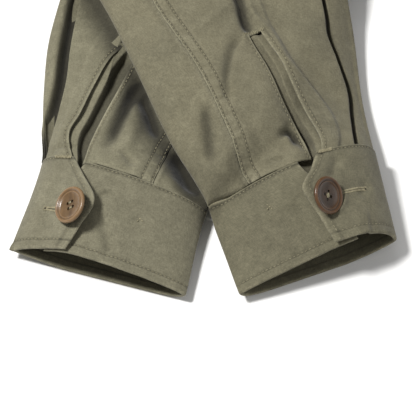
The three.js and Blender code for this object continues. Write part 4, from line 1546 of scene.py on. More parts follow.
@dataclass
class SewnButton:
    """A four-hole button with a raised rim, its shank and the threads through its holes."""

    shop: Shop
    name: str
    diameter: float
    base: Array
    normal: Array
    turn: float
    material: Material
    thickness: float = 4.2
    shank_length: float = 3.8
    shank_radius: float = 1.9
    crossed: bool = False
    hole_radius: float = 1.12
    hole_spread: float = 1.95
    segments: int = 84

    def profile(self) -> list[tuple[float, float, float]]:
        """Outline of the button from the middle of its top to the middle of its back.

        Returns:
            Radius, height above the cloth, and wear with painted highlight of each point.
        """
        r, low = self.diameter / 2.0, self.shank_length
        top = low + self.thickness
        return [
            (0.0, top - 1.75, 0.0), (0.3 * r, top - 1.72, 0.0), (0.5 * r, top - 1.6, 0.0),
            (0.62 * r, top - 1.45, 0.1), (0.68 * r, top - 1.2, 0.2), (0.715 * r, top - 0.82, 0.8),
            (0.745 * r, top - 0.78, 0.7), (0.77 * r, top - 1.0, 0.1), (0.79 * r, top - 0.98, 0.0),
            (0.82 * r, top - 0.5, 0.3), (0.86 * r, top - 0.14, 0.8), (0.9 * r, top, 1.0),
            (0.94 * r, top - 0.12, 1.0), (0.975 * r, top - 0.5, 1.0), (0.995 * r, top - 1.05, 0.8),
            (r, top - 1.7, 0.4), (0.98 * r, top - 2.4, 0.1), (0.9 * r, low + 0.8, 0.0),
            (0.72 * r, low, 0.0), (self.shank_radius, low, 0.0), (0.0, low, 0.0),
        ]

    def disc(self) -> Piece:
        """The turned disc with its four holes.

        Returns:
            The disc, not yet placed, in millimetres about its own axis.
        """
        rings = self.profile()
        turn = np.linspace(0.0, TURN, self.segments, endpoint=False)
        points, wear_and_highlight = [(0.0, 0.0, rings[0][1])], [0.0]
        for radius, height, rub_and_highlight in rings[1:-1]:
            points += [(radius * math.cos(t), radius * math.sin(t), height) for t in turn]
            wear_and_highlight += [rub_and_highlight] * self.segments
        points.append((0.0, 0.0, rings[-1][1]))
        wear_and_highlight.append(0.0)
        n, last = self.segments, len(points) - 1
        faces = [(0, 1 + k, 1 + (k + 1) % n) for k in range(n)]
        for ring in range(len(rings) - 3):
            for k in range(n):
                a, b = 1 + ring * n + k, 1 + ring * n + (k + 1) % n
                faces.append((a, a + n, b + n, b))
        start = 1 + (len(rings) - 3) * n
        faces += [(start + k, last, start + (k + 1) % n) for k in range(n)]
        data = bpy.data.meshes.new(self.name)
        data.from_pydata(points, [], faces)
        attribute = data.attributes.new("wear_and_highlight", "FLOAT", "POINT")
        attribute.data.foreach_set("value", np.array(wear_and_highlight, np.float32))
        disc = bpy.data.objects.new(f"{self.name}_moulding", data)
        bpy.context.scene.collection.objects.link(disc)
        return self.drilled(disc)

    def drilled(self, disc: Piece) -> Piece:
        """Cuts the four holes.

        Args:
            disc: The turned disc.

        Returns:
            The disc with its holes.
        """
        bpy.ops.mesh.primitive_cylinder_add(vertices=20, radius=self.hole_radius, depth=20)
        drill = bpy.context.active_object
        spots = [(x * self.hole_spread, y * self.hole_spread) for x in (-1, 1) for y in (-1, 1)]
        for x, y in spots:
            drill.location = (x, y, self.shank_length)
            cut = disc.modifiers.new("hole", "BOOLEAN")
            cut.operation, cut.object, cut.solver = "DIFFERENCE", drill, "EXACT"
            bpy.context.view_layer.update()
            graph = bpy.context.evaluated_depsgraph_get()
            old = disc.data
            disc.data = bpy.data.meshes.new_from_object(disc.evaluated_get(graph))
            disc.modifiers.clear()
            bpy.data.meshes.remove(old)
        bpy.data.objects.remove(drill)
        return disc

    def axes(self) -> Array:
        """The button's own axes in the part's plan, turned about its normal.

        Returns:
            Three unit vectors, as rows.
        """
        side = unit(np.cross([0.0, 1.0, 0.0], self.normal))
        up = np.cross(self.normal, side)
        turn = math.radians(self.turn)
        across = math.cos(turn) * side + math.sin(turn) * up
        return np.stack([across, np.cross(self.normal, across), self.normal])

    def build(self) -> None:
        """Makes the button and its threads."""
        disc, axes = self.disc(), self.axes()
        local = np.zeros(len(disc.data.vertices) * 3)
        disc.data.vertices.foreach_get("co", local)
        points = self.base + self.normal * SEAM_GAP + local.reshape(-1, 3) @ axes
        disc.data.vertices.foreach_set("co", self.shop.place.metres(points).ravel())
        disc.data.polygons.foreach_set("use_smooth", np.ones(len(disc.data.polygons), bool))
        disc.data.set_sharp_from_angle(angle=math.radians(50))
        disc.data.materials.clear()
        disc.data.materials.append(self.material)
        disc.data.update()
        self.shop.fasten(disc, Slot.BUTTON, (self.name,))
        thread = StitchWork(f"{self.name}_thread")
        floor = self.shank_length + self.thickness - 1.55
        reach = self.hole_spread
        for sign in (-1, 1):
            run = unit(axes[0] + sign * axes[1]) if self.crossed else axes[0]
            off = 0.0 if self.crossed else sign * reach
            length = 2.0 * reach * (0.95 if self.crossed else 0.62)
            aside = np.cross(axes[2], run)
            for shift in (-0.33, 0.33):
                centre = self.base + np.array([0.0, off, floor + 0.2]) @ axes + shift * aside
                thread.one(centre, run, axes[2], length, 0.32)
        for k in range(7):
            around = TURN * k / 7.0
            spot = np.array([math.cos(around), math.sin(around), 0.0]) * 1.1
            centre = self.base + (spot + np.array([0.0, 0.0, self.shank_length / 2.0 + 0.3])) @ axes
            thread.one(centre, axes[2], axes[0], self.shank_length + 0.8, 0.6)
        thread.piece(self.shop, self.shop.finish.pale_thread, Slot.BUTTON)


@dataclass
class Cuff:
    """A buttoned cuff: one strip whose pointed tab laps over its other end, with its details."""

    shop: Shop
    form: SleeveForm
    slit: tuple[float, float]
    mark: tuple[float, float]
    bartack: tuple[float, float]
    gape: float
    cloth: Material
    button_material: Material
    creases: tuple[Crease, ...]
    tab_creases: tuple[Crease, ...]
    rows: int = 56
    columns: int = 300
    dent: float = 2.6
    dent_shift: float = 0.25
    hem_stitch: float = 6.4
    edge_stitch: float = 2.0
    tab_stitch: float = 4.2
    flat: tuple[float, float] = (0.27, 0.068)
    button_diameter: float = 25.4
    strip_length: float = 290.0
    mm_per_radian: float = 52.0

    def end(self, column: str, v: Array) -> Array:
        """Place of an end of the strip up the cuff."""
        return self.form.cuff_ends.at(column, v)

    def tab_angle(self, v: Array) -> Array:
        """Angle of the tab's edge."""
        return TURN + np.arccos(self.end("tab", v))

    def lap(self, angle: Array, v: Array) -> Array:
        """How far the strip stands out, over its other end and with the tab's lift.

        Args:
            angle: Angles along the strip.
            v: Places up the cuff.

        Returns:
            The distance out of the plain sleeve.
        """
        start = TURN
        full = start + 0.8
        over = (CUFF_WALL + SEAM_GAP) * ease(start - 0.2, full, angle)
        tip = np.clip((angle - full) / (self.tab_angle(v) - full), 0.0, 1.0)
        across = (np.cos(angle) - self.form.button.s - self.dent_shift) / self.dent_shift
        up = (v - self.form.button.v) / self.dent_shift
        dent = np.where(angle > start, self.dent * np.exp(-2.0 * across * across - up * up), 0.0)
        return over + self.end("lift", v) * tip**1.4 - dent

    def plain(self, angle: Array, v: Array) -> Array:
        """The outer face of the strip without fine relief.

        Args:
            angle: Angles along the strip.
            v: Places up the cuff.

        Returns:
            Points in the part's plan.
        """
        angle, v = np.broadcast_arrays(np.asarray(angle, float), np.asarray(v, float))
        along = v * self.form.cuff_height
        out = self.lap(angle, v) + CUFF_PROUD * np.clip(np.sin(angle), 0.0, 1.0)
        return self.form.plain(angle, along) + self.form.outward(angle, along) * out[..., None]

    def face(self, angle: Array, v: Array) -> Array:
        """The outer face with its creases and puckers.

        Args:
            angle: Angles along the strip.
            v: Places up the cuff.

        Returns:
            Points in the part's plan.
        """
        points = self.plain(angle, v)
        seed = 41 if self.form.side is Side.LEFT else 53
        run = np.asarray(angle, float) * self.mm_per_radian
        up = np.asarray(v, float) * self.form.cuff_height
        hem = ridge(up, self.hem_stitch, 4.0)
        soft = 0.6 * rumple(run, up, (26, 22), seed) + 0.25 * rumple(run, up, (9, 9), seed + 1)
        soft = soft + 0.3 * hem * rumple(run, up, (5, 30), seed + 2)
        soft = soft - 0.35 * ridge(up, self.hem_stitch) - 0.35 * self.top_row(up)
        soft = soft + 0.45 * ridge(self.form.cuff_height - up, 0.7, 0.8)
        from_tab = (self.tab_angle(v) - angle) * self.mm_per_radian
        over = np.where(angle > TURN, 1.0, 0.0)
        soft = soft + over * 0.5 * ridge(from_tab, 2.4, 2.4) * rumple(from_tab, up, (20, 3.4), seed + 4)
        soft = soft - over * 0.35 * ridge(from_tab, self.tab_stitch)
        x, y = points[..., 0], points[..., 1]
        soft = soft + sum(crease.lift(x, y) for crease in self.creases) * (1.0 - over)
        soft = soft + sum(crease.lift(x, y) for crease in self.tab_creases) * over
        points[..., 2] += soft * np.clip(np.sin(angle) * 3.0, 0.0, 1.0)
        return points

    def top_row(self, up: Array) -> Array:
        """Nearness to the row of stitches along the top edge, 1 on it."""
        return ridge(self.form.cuff_height - self.edge_stitch, up, 0.8)

    def build_strip(self) -> Piece:
        """The strip of the cuff itself.

        Returns:
            The piece.
        """
        form = self.form
        strip = self.strip_length
        v = rimmed(form.cuff_height, self.rows)[:, None]
        u = rimmed(strip, self.columns)
        angle = lerp(np.arccos(self.end("underlap", v)), self.tab_angle(v), u[None, :])
        v = np.broadcast_to(v, angle.shape)
        up = v * form.cuff_height
        to_end = np.minimum(u, 1.0 - u)[None, :] * strip
        edge = np.minimum(np.minimum(up, form.cuff_height - up), to_end)
        # Wear and painted highlight along the strip's edges.
        wear_and_highlight = 0.8 * ridge(edge, 0.3, 1.1)
        wear_and_highlight = wear_and_highlight * (0.55 + 0.45 * rumple(angle * self.mm_per_radian, up, (4, 4), 61))
        # Painted shade along the hem, top and tab rows of stitches.
        painted_shade = 0.6 * ridge(up, self.hem_stitch, 0.55) + 0.75 * self.top_row(up)
        tab = ridge((1.0 - u)[None, :] * strip, self.tab_stitch, 0.6)
        painted_shade = np.clip(painted_shade + 0.55 * tab, 0.0, 1.0)
        cloth = Cloth(self.face(angle, v), CUFF_WALL, edge, np.clip(wear_and_highlight, 0, 1), painted_shade)
        piece = cloth.piece(self.shop, f"cuff_{form.side.value}_cloth", self.cloth)
        self.shop.fasten(piece, Slot.CUFF, (f"cuff_{form.side.value}",))
        return piece

    def build_stitching(self) -> None:
        """The hem, top and tab rows of stitches."""
        form = self.form
        work = StitchWork(f"cuff_{form.side.value}_stitching", pitch=2.9, length=1.8, radius=0.33)
        hem = self.hem_stitch / form.cuff_height
        top = 1.0 - self.edge_stitch / form.cuff_height
        inset = self.tab_stitch / self.mm_per_radian
        for level in (hem, top):
            start = math.acos(float(self.end("underlap", np.array(level)))) + inset
            under = np.linspace(start, math.radians(175), 120)
            over = np.linspace(TURN + 0.25, float(self.tab_angle(np.array(level))) - inset, 90)
            for run in (under, over):
                line, normals = on_face(self.face, run, np.full(run.shape, level), CUFF_NUDGE)
                work.row(line, normals)
        v = np.linspace(hem, top, 60)
        line, normals = on_face(self.face, self.tab_angle(v) - inset, v, CUFF_NUDGE)
        work.row(line, normals)
        work.piece(self.shop, self.shop.finish.thread, Slot.CUFF)

    def build_fastening(self) -> None:
        """The buttonhole, the bartack and the crossed thread mark."""
        form = self.form
        work = StitchWork(f"cuff_{form.side.value}_buttonhole")
        level = form.button.v
        places = np.linspace(self.slit[0], self.slit[1], 34)
        angle = TURN + np.arccos(places)
        line, normals = on_face(self.face, angle, np.full(angle.shape, level), CUFF_NUDGE)
        run = unit(np.gradient(line, axis=0))
        side = np.cross(normals, run)
        for k in range(len(line)):
            open_by = 0.75 + self.gape * (1.0 - k / (len(line) - 1)) ** 1.2
            for sign in (-1, 1):
                spot = line[k] + sign * open_by * side[k] + 0.1 * normals[k]
                work.one(spot, side[k], normals[k], 1.4, 0.28)
        for turn in np.linspace(0.0, TURN, 12, endpoint=False):
            out = math.cos(turn) * run[-1] + math.sin(turn) * side[-1]
            work.one(line[-1] + 1.3 * run[-1] + 1.25 * out + 0.1 * normals[-1], out, normals[-1], 1.3, 0.26)
        self.add_bartack(work)
        self.add_mark(work)
        work.piece(self.shop, self.shop.finish.pale_thread, Slot.CUFF)
        self.build_slit(line, normals, run)

    def build_slit(self, line: Array, normals: Array, run: Array) -> None:
        """The cut of the buttonhole with its eyelet, as dark pieces of painted shade.

        Args:
            line: Points along the cut.
            normals: Directions out of the cloth at those points.
            run: Directions along the cut.
        """
        cut = StitchWork(f"cuff_{self.form.side.value}_slit")
        for k in range(0, len(line), 3):
            cut.one(line[k] + 0.02 * normals[k], run[k], normals[k], 2.4, 0.22)
        cut.one(line[-1] + 1.3 * run[-1], run[-1], normals[-1], 1.6, 0.55)
        cut.piece(self.shop, self.shop.finish.shade, Slot.CUFF)

    def add_bartack(self, work: StitchWork) -> None:
        """Adds the dense stitches that hold the tab's corner at the top of the cuff.

        Args:
            work: Collects the stitches.
        """
        places = np.linspace(self.bartack[0], self.bartack[1], 22)
        level = 1.0 - 1.2 / self.form.cuff_height
        angle = TURN + np.arccos(places)
        line, normals = on_face(self.face, angle, np.full(angle.shape, level), CUFF_NUDGE)
        for k in range(len(line)):
            lean = np.array([0.35 if k % 2 else -0.35, 1.0, 0.0])
            work.one(line[k] + 0.12 * normals[k], lean, normals[k], 2.6, 0.3)

    def add_mark(self, work: StitchWork) -> None:
        """Adds the small crossed mark of thread on the underlap's outer face.

        Args:
            work: Collects the stitches.
        """
        s, level = self.mark
        point, normal = on_face(self.face, np.array([math.acos(s)]), np.array([level]), CUFF_NUDGE)
        for sign in (-1, 1):
            lean = np.array([0.75, sign * 0.75, 0.0])
            for shift in (-1.9, 0.0, 1.9):
                work.one(point[0] + lean * shift + 0.12 * normal[0], lean, normal[0], 1.5, 0.3)

    def build_button(self) -> None:
        """The button through the tab."""
        spot = self.form.button
        angle = TURN + math.acos(spot.s)
        place = self.plain(np.array([angle]), np.array([spot.v]))[0]
        across = (self.plain(np.array([angle + 0.05]), np.array([spot.v]))
                  - self.plain(np.array([angle - 0.05]), np.array([spot.v])))[0]
        along = (self.plain(np.array([angle]), np.array([spot.v + 0.05]))
                 - self.plain(np.array([angle]), np.array([spot.v - 0.05])))[0]
        flat = unit(np.cross(along, across))
        flat = flat if flat[2] > 0 else -flat
        tilt = math.radians(spot.tilt)
        normal = unit(np.array([math.sin(tilt), flat[1], math.cos(tilt)]))
        name = f"button_cuff_{self.form.side.value}"
        crossed = self.form.side is Side.RIGHT
        SewnButton(self.shop, name, self.button_diameter, place, normal, spot.turn, self.button_material,
                   crossed=crossed).build()

    def build(self) -> None:
        """Makes every piece of the cuff."""
        self.build_strip()
        self.build_stitching()
        self.build_fastening()
        self.build_button()


@dataclass
class Body:
    """The jacket's fronts and back, folded in half under the chest, with the front buttons."""

    shop: Shop
    column_step: float = 5.0
    flat_front: tuple[float, float] = (0.28, 0.62)
    flat_back: tuple[float, float] = (0.52, 0.66)
    button_rows: tuple[float, ...] = (430.0, 350.0)
    button_diameter: float = 23.0

    def top_line(self, x: Array, neck_y: float) -> Array:
        """Upper boundary of the front or back at a distance from the middle.

        Args:
            x: Places across.
            neck_y: Place of the neck line in the middle.

        Returns:
            The y of the boundary.
        """
        off = np.abs(x)
        neck = lerp(neck_y, NECK_SIDE[1], 1.0 - np.cos(off / NECK_SIDE[0] * math.pi / 2.0))
        slope = lerp(NECK_SIDE[1], SHOULDER[1], (off - NECK_SIDE[0]) / (SHOULDER[0] - NECK_SIDE[0]))
        arm = lerp(SHOULDER[1], UNDERARM[1], (off - SHOULDER[0]) / (UNDERARM[0] - SHOULDER[0]))
        return np.where(off < NECK_SIDE[0], neck, np.where(off < SHOULDER[0], slope, arm))

    def side_roll(self, from_side: Array, up: Array) -> Array:
        """How far a side edge rolls towards the middle of its package."""
        near = np.clip(1.0 - from_side / EDGE_ROLL, 0.0, 1.0)
        return EDGE_DROP * near * near * (1.0 - ease(0.3, 0.85, up))

    def chest(self, x: Array, up: Array, depth: Array, neck_y: float, trim: float) -> Array:
        """The chest, from the fold at 0 up to the shoulder at 1.

        Args:
            x: Places across.
            up: Shares of the way up.
            depth: Depth below the outer face.
            neck_y: Place of the neck line in the middle.
            trim: How far the boundary is held back.

        Returns:
            Points in the part's plan.
        """
        y = lerp(FOLD_CENTRE_Y, self.top_line(x, neck_y) - trim, up)
        roll = self.side_roll(BODY_HALF_WIDTH - np.abs(x), up)
        return np.stack(np.broadcast_arrays(x, y, 2 * FOLD_RADIUS - depth - roll), axis=-1)

    def bend(self, x: Array, turn: Array, depth: Array) -> Array:
        """The half round of the fold, from the chest at 0 to the underside at 1.

        Args:
            x: Places across.
            turn: Shares of the half round.
            depth: Depth below the outer face.

        Returns:
            Points in the part's plan.
        """
        angle = math.pi * turn
        radius = FOLD_RADIUS - depth
        roll = self.side_roll(BODY_HALF_WIDTH - np.abs(x), 0.0)
        y = FOLD_CENTRE_Y - radius * np.sin(angle)
        z = FOLD_RADIUS + (radius - roll) * np.cos(angle)
        return np.stack(np.broadcast_arrays(x, y, z), axis=-1)

    def underneath(self, x: Array, down: Array, depth: Array, trim: float) -> Array:
        """The layer that lies on the table, from the fold at 0 to the hem at 1.

        Args:
            x: Places across.
            down: Shares of the way to the hem.
            depth: Depth from the outer face.
            trim: How far the hem is held back.

        Returns:
            Points in the part's plan.
        """
        y = lerp(FOLD_CENTRE_Y, HEM_Y - trim, down)
        narrow = lerp(1.0, HEM_HALF_WIDTH / BODY_HALF_WIDTH, down)
        roll = self.side_roll(BODY_HALF_WIDTH - np.abs(x), 0.0)
        return np.stack(np.broadcast_arrays(x * narrow, y, depth + roll), axis=-1)

    def build_front(self, side: Side) -> None:
        """One front, from its edge in the middle to the side seam.

        Args:
            side: The wearer's side of it.
        """
        sign = 1.0 if side is Side.LEFT else -1.0
        lap = FRONT_WALL + SEAM_GAP
        near, far = FLY_LEFT, FLY_RIGHT + 1 + FLY_RAMP
        if side is Side.RIGHT:
            near, far = FLY_RIGHT, FLY_LEFT - 1 - FLY_RAMP
        fly = near + sign * np.array([0, 0.3, 0.8, 1.4, 3, 5, 7, 9, 12, 16, 20, 25, 30, 34, 36, 38, 40])
        chest_x = np.arange(abs(far) + 3, 250, self.column_step)
        side_x = sign * np.concatenate([chest_x, [253, 257, 260, 261.6]])
        x = np.concatenate([fly, side_x])[None, :]
        past = FLY_RIGHT + 1 - x if side is Side.LEFT else x - FLY_LEFT + 1
        lapping = ease(-FLY_RAMP, 0, past)
        up = np.linspace(1.0, 0.0, 110)[:, None]
        turn = np.linspace(0.0, 1.0, 14)[1:, None]
        down = np.linspace(0.0, 1.0, 46)[1:, None]

        def shift(share: Array) -> Array:
            """Lift of the lapping front, above on the chest and below under the body."""
            return (lap * share if side is Side.LEFT else -lap * (1.0 - share)) * lapping

        chest = self.chest(x, up, -shift(1.0 + 0 * up), FRONT_NECK_Y, 0.0)
        bend = self.bend(x, turn, -shift((1.0 + np.cos(math.pi * turn)) / 2.0))
        under = self.underneath(x, down, -shift(0 * down), 0.0)
        outer = np.concatenate([chest, bend, under])
        seed = 71 if side is Side.LEFT else 83
        soft = 0.7 * rumple(outer[..., 0], outer[..., 1], (38, 60), seed)
        soft = soft + 0.3 * rumple(outer[..., 0], outer[..., 1], (14, 20), seed + 1)
        outer[: len(up), :, 2] += (soft[: len(up)] - 0.9) * ease(0, 14, np.abs(x) - 26)
        edge = np.abs(x - near) + 0 * outer[..., 0]
        stitch = ridge(np.abs(x - near), 4.0, 0.7) + 0 * outer[..., 0]
        # Wear and painted highlight along the front's edge, painted shade along its stitch row.
        wear_and_highlight = 0.7 * ridge(edge, 0.4, 1.2)
        cloth = Cloth(outer, FRONT_WALL, edge, wear_and_highlight, 0.4 * stitch)
        piece = cloth.piece(self.shop, f"front_{side.value}_cloth", self.shop.finish.cotton)
        self.shop.fasten(piece, Slot.COTTON, (f"front_{side.value}",))

    def build_back(self) -> None:
        """The back and the hidden layers, as one rounded solid with a slit between its two halves."""
        side = BODY_HALF_WIDTH - FRONT_WALL - SEAM_GAP
        lap = FRONT_WALL + SEAM_GAP
        half = np.concatenate([np.arange(0, 250, 6.0), [252, 255, 257.5, side]])
        columns = np.concatenate([-half[:0:-1], half])[:, None]
        lapped = (columns > FLY_HOLLOW[0]) & (columns < FLY_HOLLOW[1])
        fly = np.where(lapped, lap, 0.0)
        clear = 0.5 * (1.0 - ease(EDGE_ROLL / 3, EDGE_ROLL + 2, BODY_HALF_WIDTH - np.abs(columns)))
        depth = lap + clear
        up = np.linspace(1.0, 0.0, 40)[None, :]
        turn = np.linspace(0.0, 1.0, 12)[None, 1:]
        down = np.linspace(0.0, 1.0, 30)[None, 1:]
        share = (1.0 + np.cos(math.pi * turn)) / 2.0
        roll = self.side_roll(BODY_HALF_WIDTH - np.abs(columns), 0.0)
        slit = SEAM_GAP / 2 + 0.05
        outside = [
            self.chest(columns, up, depth, BACK_NECK_Y, 1.0),
            self.bend(columns, turn, depth + fly * (1.0 - share)),
            self.underneath(columns, down, depth + fly, 1.0),
        ]
        back_down = np.linspace(1.0, 0.03, 14)[None, :]
        back_up = np.linspace(0.03, 1.0, 14)[None, :]
        lower = self.underneath(columns, back_down, 0.0 * columns, 1.0)
        lower[..., 2] = LAYER_SPLIT - slit - roll * ease(0.03, 0.5, back_down)
        upper = self.chest(columns, back_up, 0.0 * columns, BACK_NECK_Y, 1.0)
        upper[..., 2] = LAYER_SPLIT + slit + roll * np.sin(math.pi * np.clip(back_up, 0, 1)) * 0.9
        sections = np.concatenate([*outside, lower, upper], axis=1)
        rows, count = sections.shape[:2]
        ids = np.arange(rows * count).reshape(rows, count)
        following = np.roll(ids, -1, axis=1)
        quads = np.stack([ids[:-1], following[:-1], following[1:], ids[1:]], axis=-1).reshape(-1, 4)
        piece = self.shop.mesh("back_cloth", sections.reshape(-1, 3), quads, self.shop.finish.cotton)
        self.cap(piece, ids)
        self.shop.fasten(piece, Slot.COTTON, ("back",))

    def cap(self, piece: Piece, ids: Array) -> None:
        """Closes the two side ends of the back.

        Args:
            piece: The back.
            ids: Numbers of its points by section.
        """
        work = bmesh.new()
        work.from_mesh(piece.data)
        work.verts.ensure_lookup_table()
        for loop in (ids[0], ids[-1][::-1]):
            work.faces.new([work.verts[int(k)] for k in loop])
        bmesh.ops.triangulate(work, faces=[f for f in work.faces if len(f.verts) > 4])
        bmesh.ops.recalc_face_normals(work, faces=work.faces)
        work.to_mesh(piece.data)
        work.free()
        piece.data.polygons.foreach_set("use_smooth", np.ones(len(piece.data.polygons), bool))
        piece.data.set_sharp_from_angle(angle=math.radians(60))

    def build_buttons(self) -> None:
        """The two front buttons above the crossed sleeves."""
        top = 2.0 * FOLD_RADIUS + FRONT_WALL + SEAM_GAP
        for number, y in enumerate(self.button_rows, 1):
            base, normal = np.array([-1.0, y, top]), np.array([0.0, 0.0, 1.0])
            name = f"button_front_{number}"
            SewnButton(self.shop, name, self.button_diameter, base, normal, turn=20.0 * number,
                       material=self.shop.finish.button).build()

    def build(self) -> None:
        """Makes every piece of the body."""
        self.build_front(Side.LEFT)
        self.build_front(Side.RIGHT)
        self.build_back()
        self.build_buttons()


@dataclass
class Collar:
    """The collar, one turned-down sheet round the neck."""

    shop: Shop
    stops: int = 150
    across: int = 44
    flat: tuple[float, float] = (0.52, 0.1)

    def leaf(self, round_it: Array, u: Array) -> Array:
        """The middle of the collar's thickness.

        Args:
            round_it: Distances round the neck from one front edge to the other.
            u: Places from the neck seam, 0, over the roll, 1, to the leaf's edge, 3.

        Returns:
            Points in the part's plan.
        """
        last = COLLAR.knots[-1]
        mirrored = round_it > last
        at = np.where(mirrored, 2.0 * last - round_it, round_it)
        points = []
        for axis in "xyz":
            corner = np.stack([COLLAR.at(name + axis, at) for name in ("n", "r", "m", "e")])
            points.append(self.along(corner, u))
        points[0] = np.where(mirrored, -points[0], points[0])
        return np.stack(points, axis=-1)

    def along(self, corner: Array, u: Array) -> Array:
        """Smooth curve through the four values of a cross section, as Curves does.

        Args:
            corner: The four values, by place round the neck.
            u: Places along the cross section.

        Returns:
            The value at each place.
        """
        slope = np.stack([corner[1] - corner[0], (corner[2] - corner[0]) / 2,
                          (corner[3] - corner[1]) / 2, corner[3] - corner[2]])
        i = np.clip(np.ceil(u).astype(int) - 1, 0, 2)
        share = np.clip(u - i, 0.0, 1.0)
        i = np.broadcast_to(i, corner.shape[1:])

        def take(table: Array, k: Array) -> Array:
            """One value of the table for each place."""
            return np.take_along_axis(table, k[None], axis=0)[0]

        bend = (2 * share - 3) * share * share
        leave = ((share - 2) * share + 1) * share * take(slope, i)
        arrive = (share - 1) * share * share * take(slope, i + 1)
        return take(corner, i) * (1 + bend) - take(corner, i + 1) * bend + leave + arrive

    def build(self) -> None:
        """Makes the collar."""
        last = 2.0 * COLLAR.knots[-1]
        tips = np.array([0.0, 0.3, 0.8, 1.5])
        inner = np.linspace(2.5, last - 2.5, self.stops)
        round_it = np.concatenate([tips, inner, last - tips[::-1]])[:, None]
        rim = np.array([0.0, 0.01, 0.025, 0.05])
        u = np.concatenate([rim, np.linspace(0.08, 2.92, self.across), 3.0 - rim[::-1]])[None, :]
        round_it, u = (a.copy() for a in np.broadcast_arrays(round_it, u))
        middle = self.leaf(round_it, u)
        middle[..., 2] += 0.35 * rumple(round_it, u * 30.0, (26, 18), 91) * ease(0.5, 1.2, u)
        edge = np.minimum(np.minimum(round_it, last - round_it), np.minimum(u, 3.0 - u) * 30.0)
        # Wear and painted highlight along the collar's edges, painted shade along its stitch row.
        wear_and_highlight = 0.6 * ridge(edge, 0.4, 1.4)
        painted_shade = 0.4 * ridge(edge, 5.0, 0.7)
        cloth = Cloth(middle, COLLAR_WALL, edge, wear_and_highlight, painted_shade)
        cloth.outer = middle + cloth.normals() * (COLLAR_WALL / 2.0)
        piece = cloth.piece(self.shop, "collar_cloth", self.shop.finish.cotton)
        self.shop.fasten(piece, Slot.COTTON, ("collar",))


@dataclass
class Studio:
    """The pale table, the soft light and the camera at the photograph's angle."""

    place: Place
    elevation: float = 63.0
    distance: float = 3200.0
    pixels_per_mm: float = 1.5
    frame_pixels: float = 416.0
    sensor: float = 36.0

    def lay_table(self) -> None:
        """Makes the table top under the jacket."""
        bpy.ops.mesh.primitive_plane_add(size=14.0)
        table = bpy.context.active_object
        table.name = "table_top"
        table.data.materials.append(TableFinish("table", (244, 243, 241)).material())

    def hang_light(self, name: str, spot: tuple[float, float, float], size: float, power: float) -> None:
        """Hangs a soft square light that faces the jacket's cuffs.

        Args:
            name: Name of the light.
            spot: Its place in metres from the picture's middle.
            size: Length of its side in metres.
            power: Its power in watts.
        """
        data = bpy.data.lights.new(name, "AREA")
        data.energy, data.size = power, size
        light = bpy.data.objects.new(name, data)
        target = Vector(self.place.shift)
        light.location = target + Vector(spot)
        light.rotation_mode = "QUATERNION"
        light.rotation_quaternion = Vector(spot).to_track_quat("Z", "Y")
        bpy.context.scene.collection.objects.link(light)

    def fill_room(self, strength: float) -> None:
        """Lights the room evenly from all round."""
        world = bpy.data.worlds.new("room")
        world.use_nodes = True
        background = world.node_tree.nodes["Background"]
        background.inputs["Color"].default_value = (0.98, 0.99, 1.0, 1.0)
        background.inputs["Strength"].default_value = strength
        bpy.context.scene.world = world

    def set_camera(self) -> None:
        """Sets the camera so that the picture's scale and angle are the photograph's."""
        focal = self.pixels_per_mm * self.distance
        data = bpy.data.cameras.new("camera")
        data.sensor_width = self.sensor
        data.lens = self.sensor * focal / self.frame_pixels
        data.clip_end = 100.0
        camera = bpy.data.objects.new("camera", data)
        tilt = math.radians(self.elevation)
        back = Vector((0.0, -math.cos(tilt), math.sin(tilt)))
        camera.location = Vector(self.place.shift) + back * (self.distance / 1000.0)
        camera.rotation_mode = "QUATERNION"
        camera.rotation_quaternion = back.to_track_quat("Z", "Y")
        bpy.context.scene.collection.objects.link(camera)
        bpy.context.scene.camera = camera

    def build(self) -> None:
        """Sets up the whole studio."""
        self.lay_table()
        self.hang_light("key", spot=(-1.12, 0.2, 2.1), size=0.4, power=71.0)
        self.hang_light("right_fill", spot=(2.0, -0.1, 1.15), size=1.4, power=11.0)
        self.hang_light("back_fill", spot=(-0.3, 2.0, 1.5), size=1.0, power=6.0)
        self.fill_room(strength=0.27)
        self.set_camera()
        bpy.context.scene.view_settings.view_transform = "Standard"


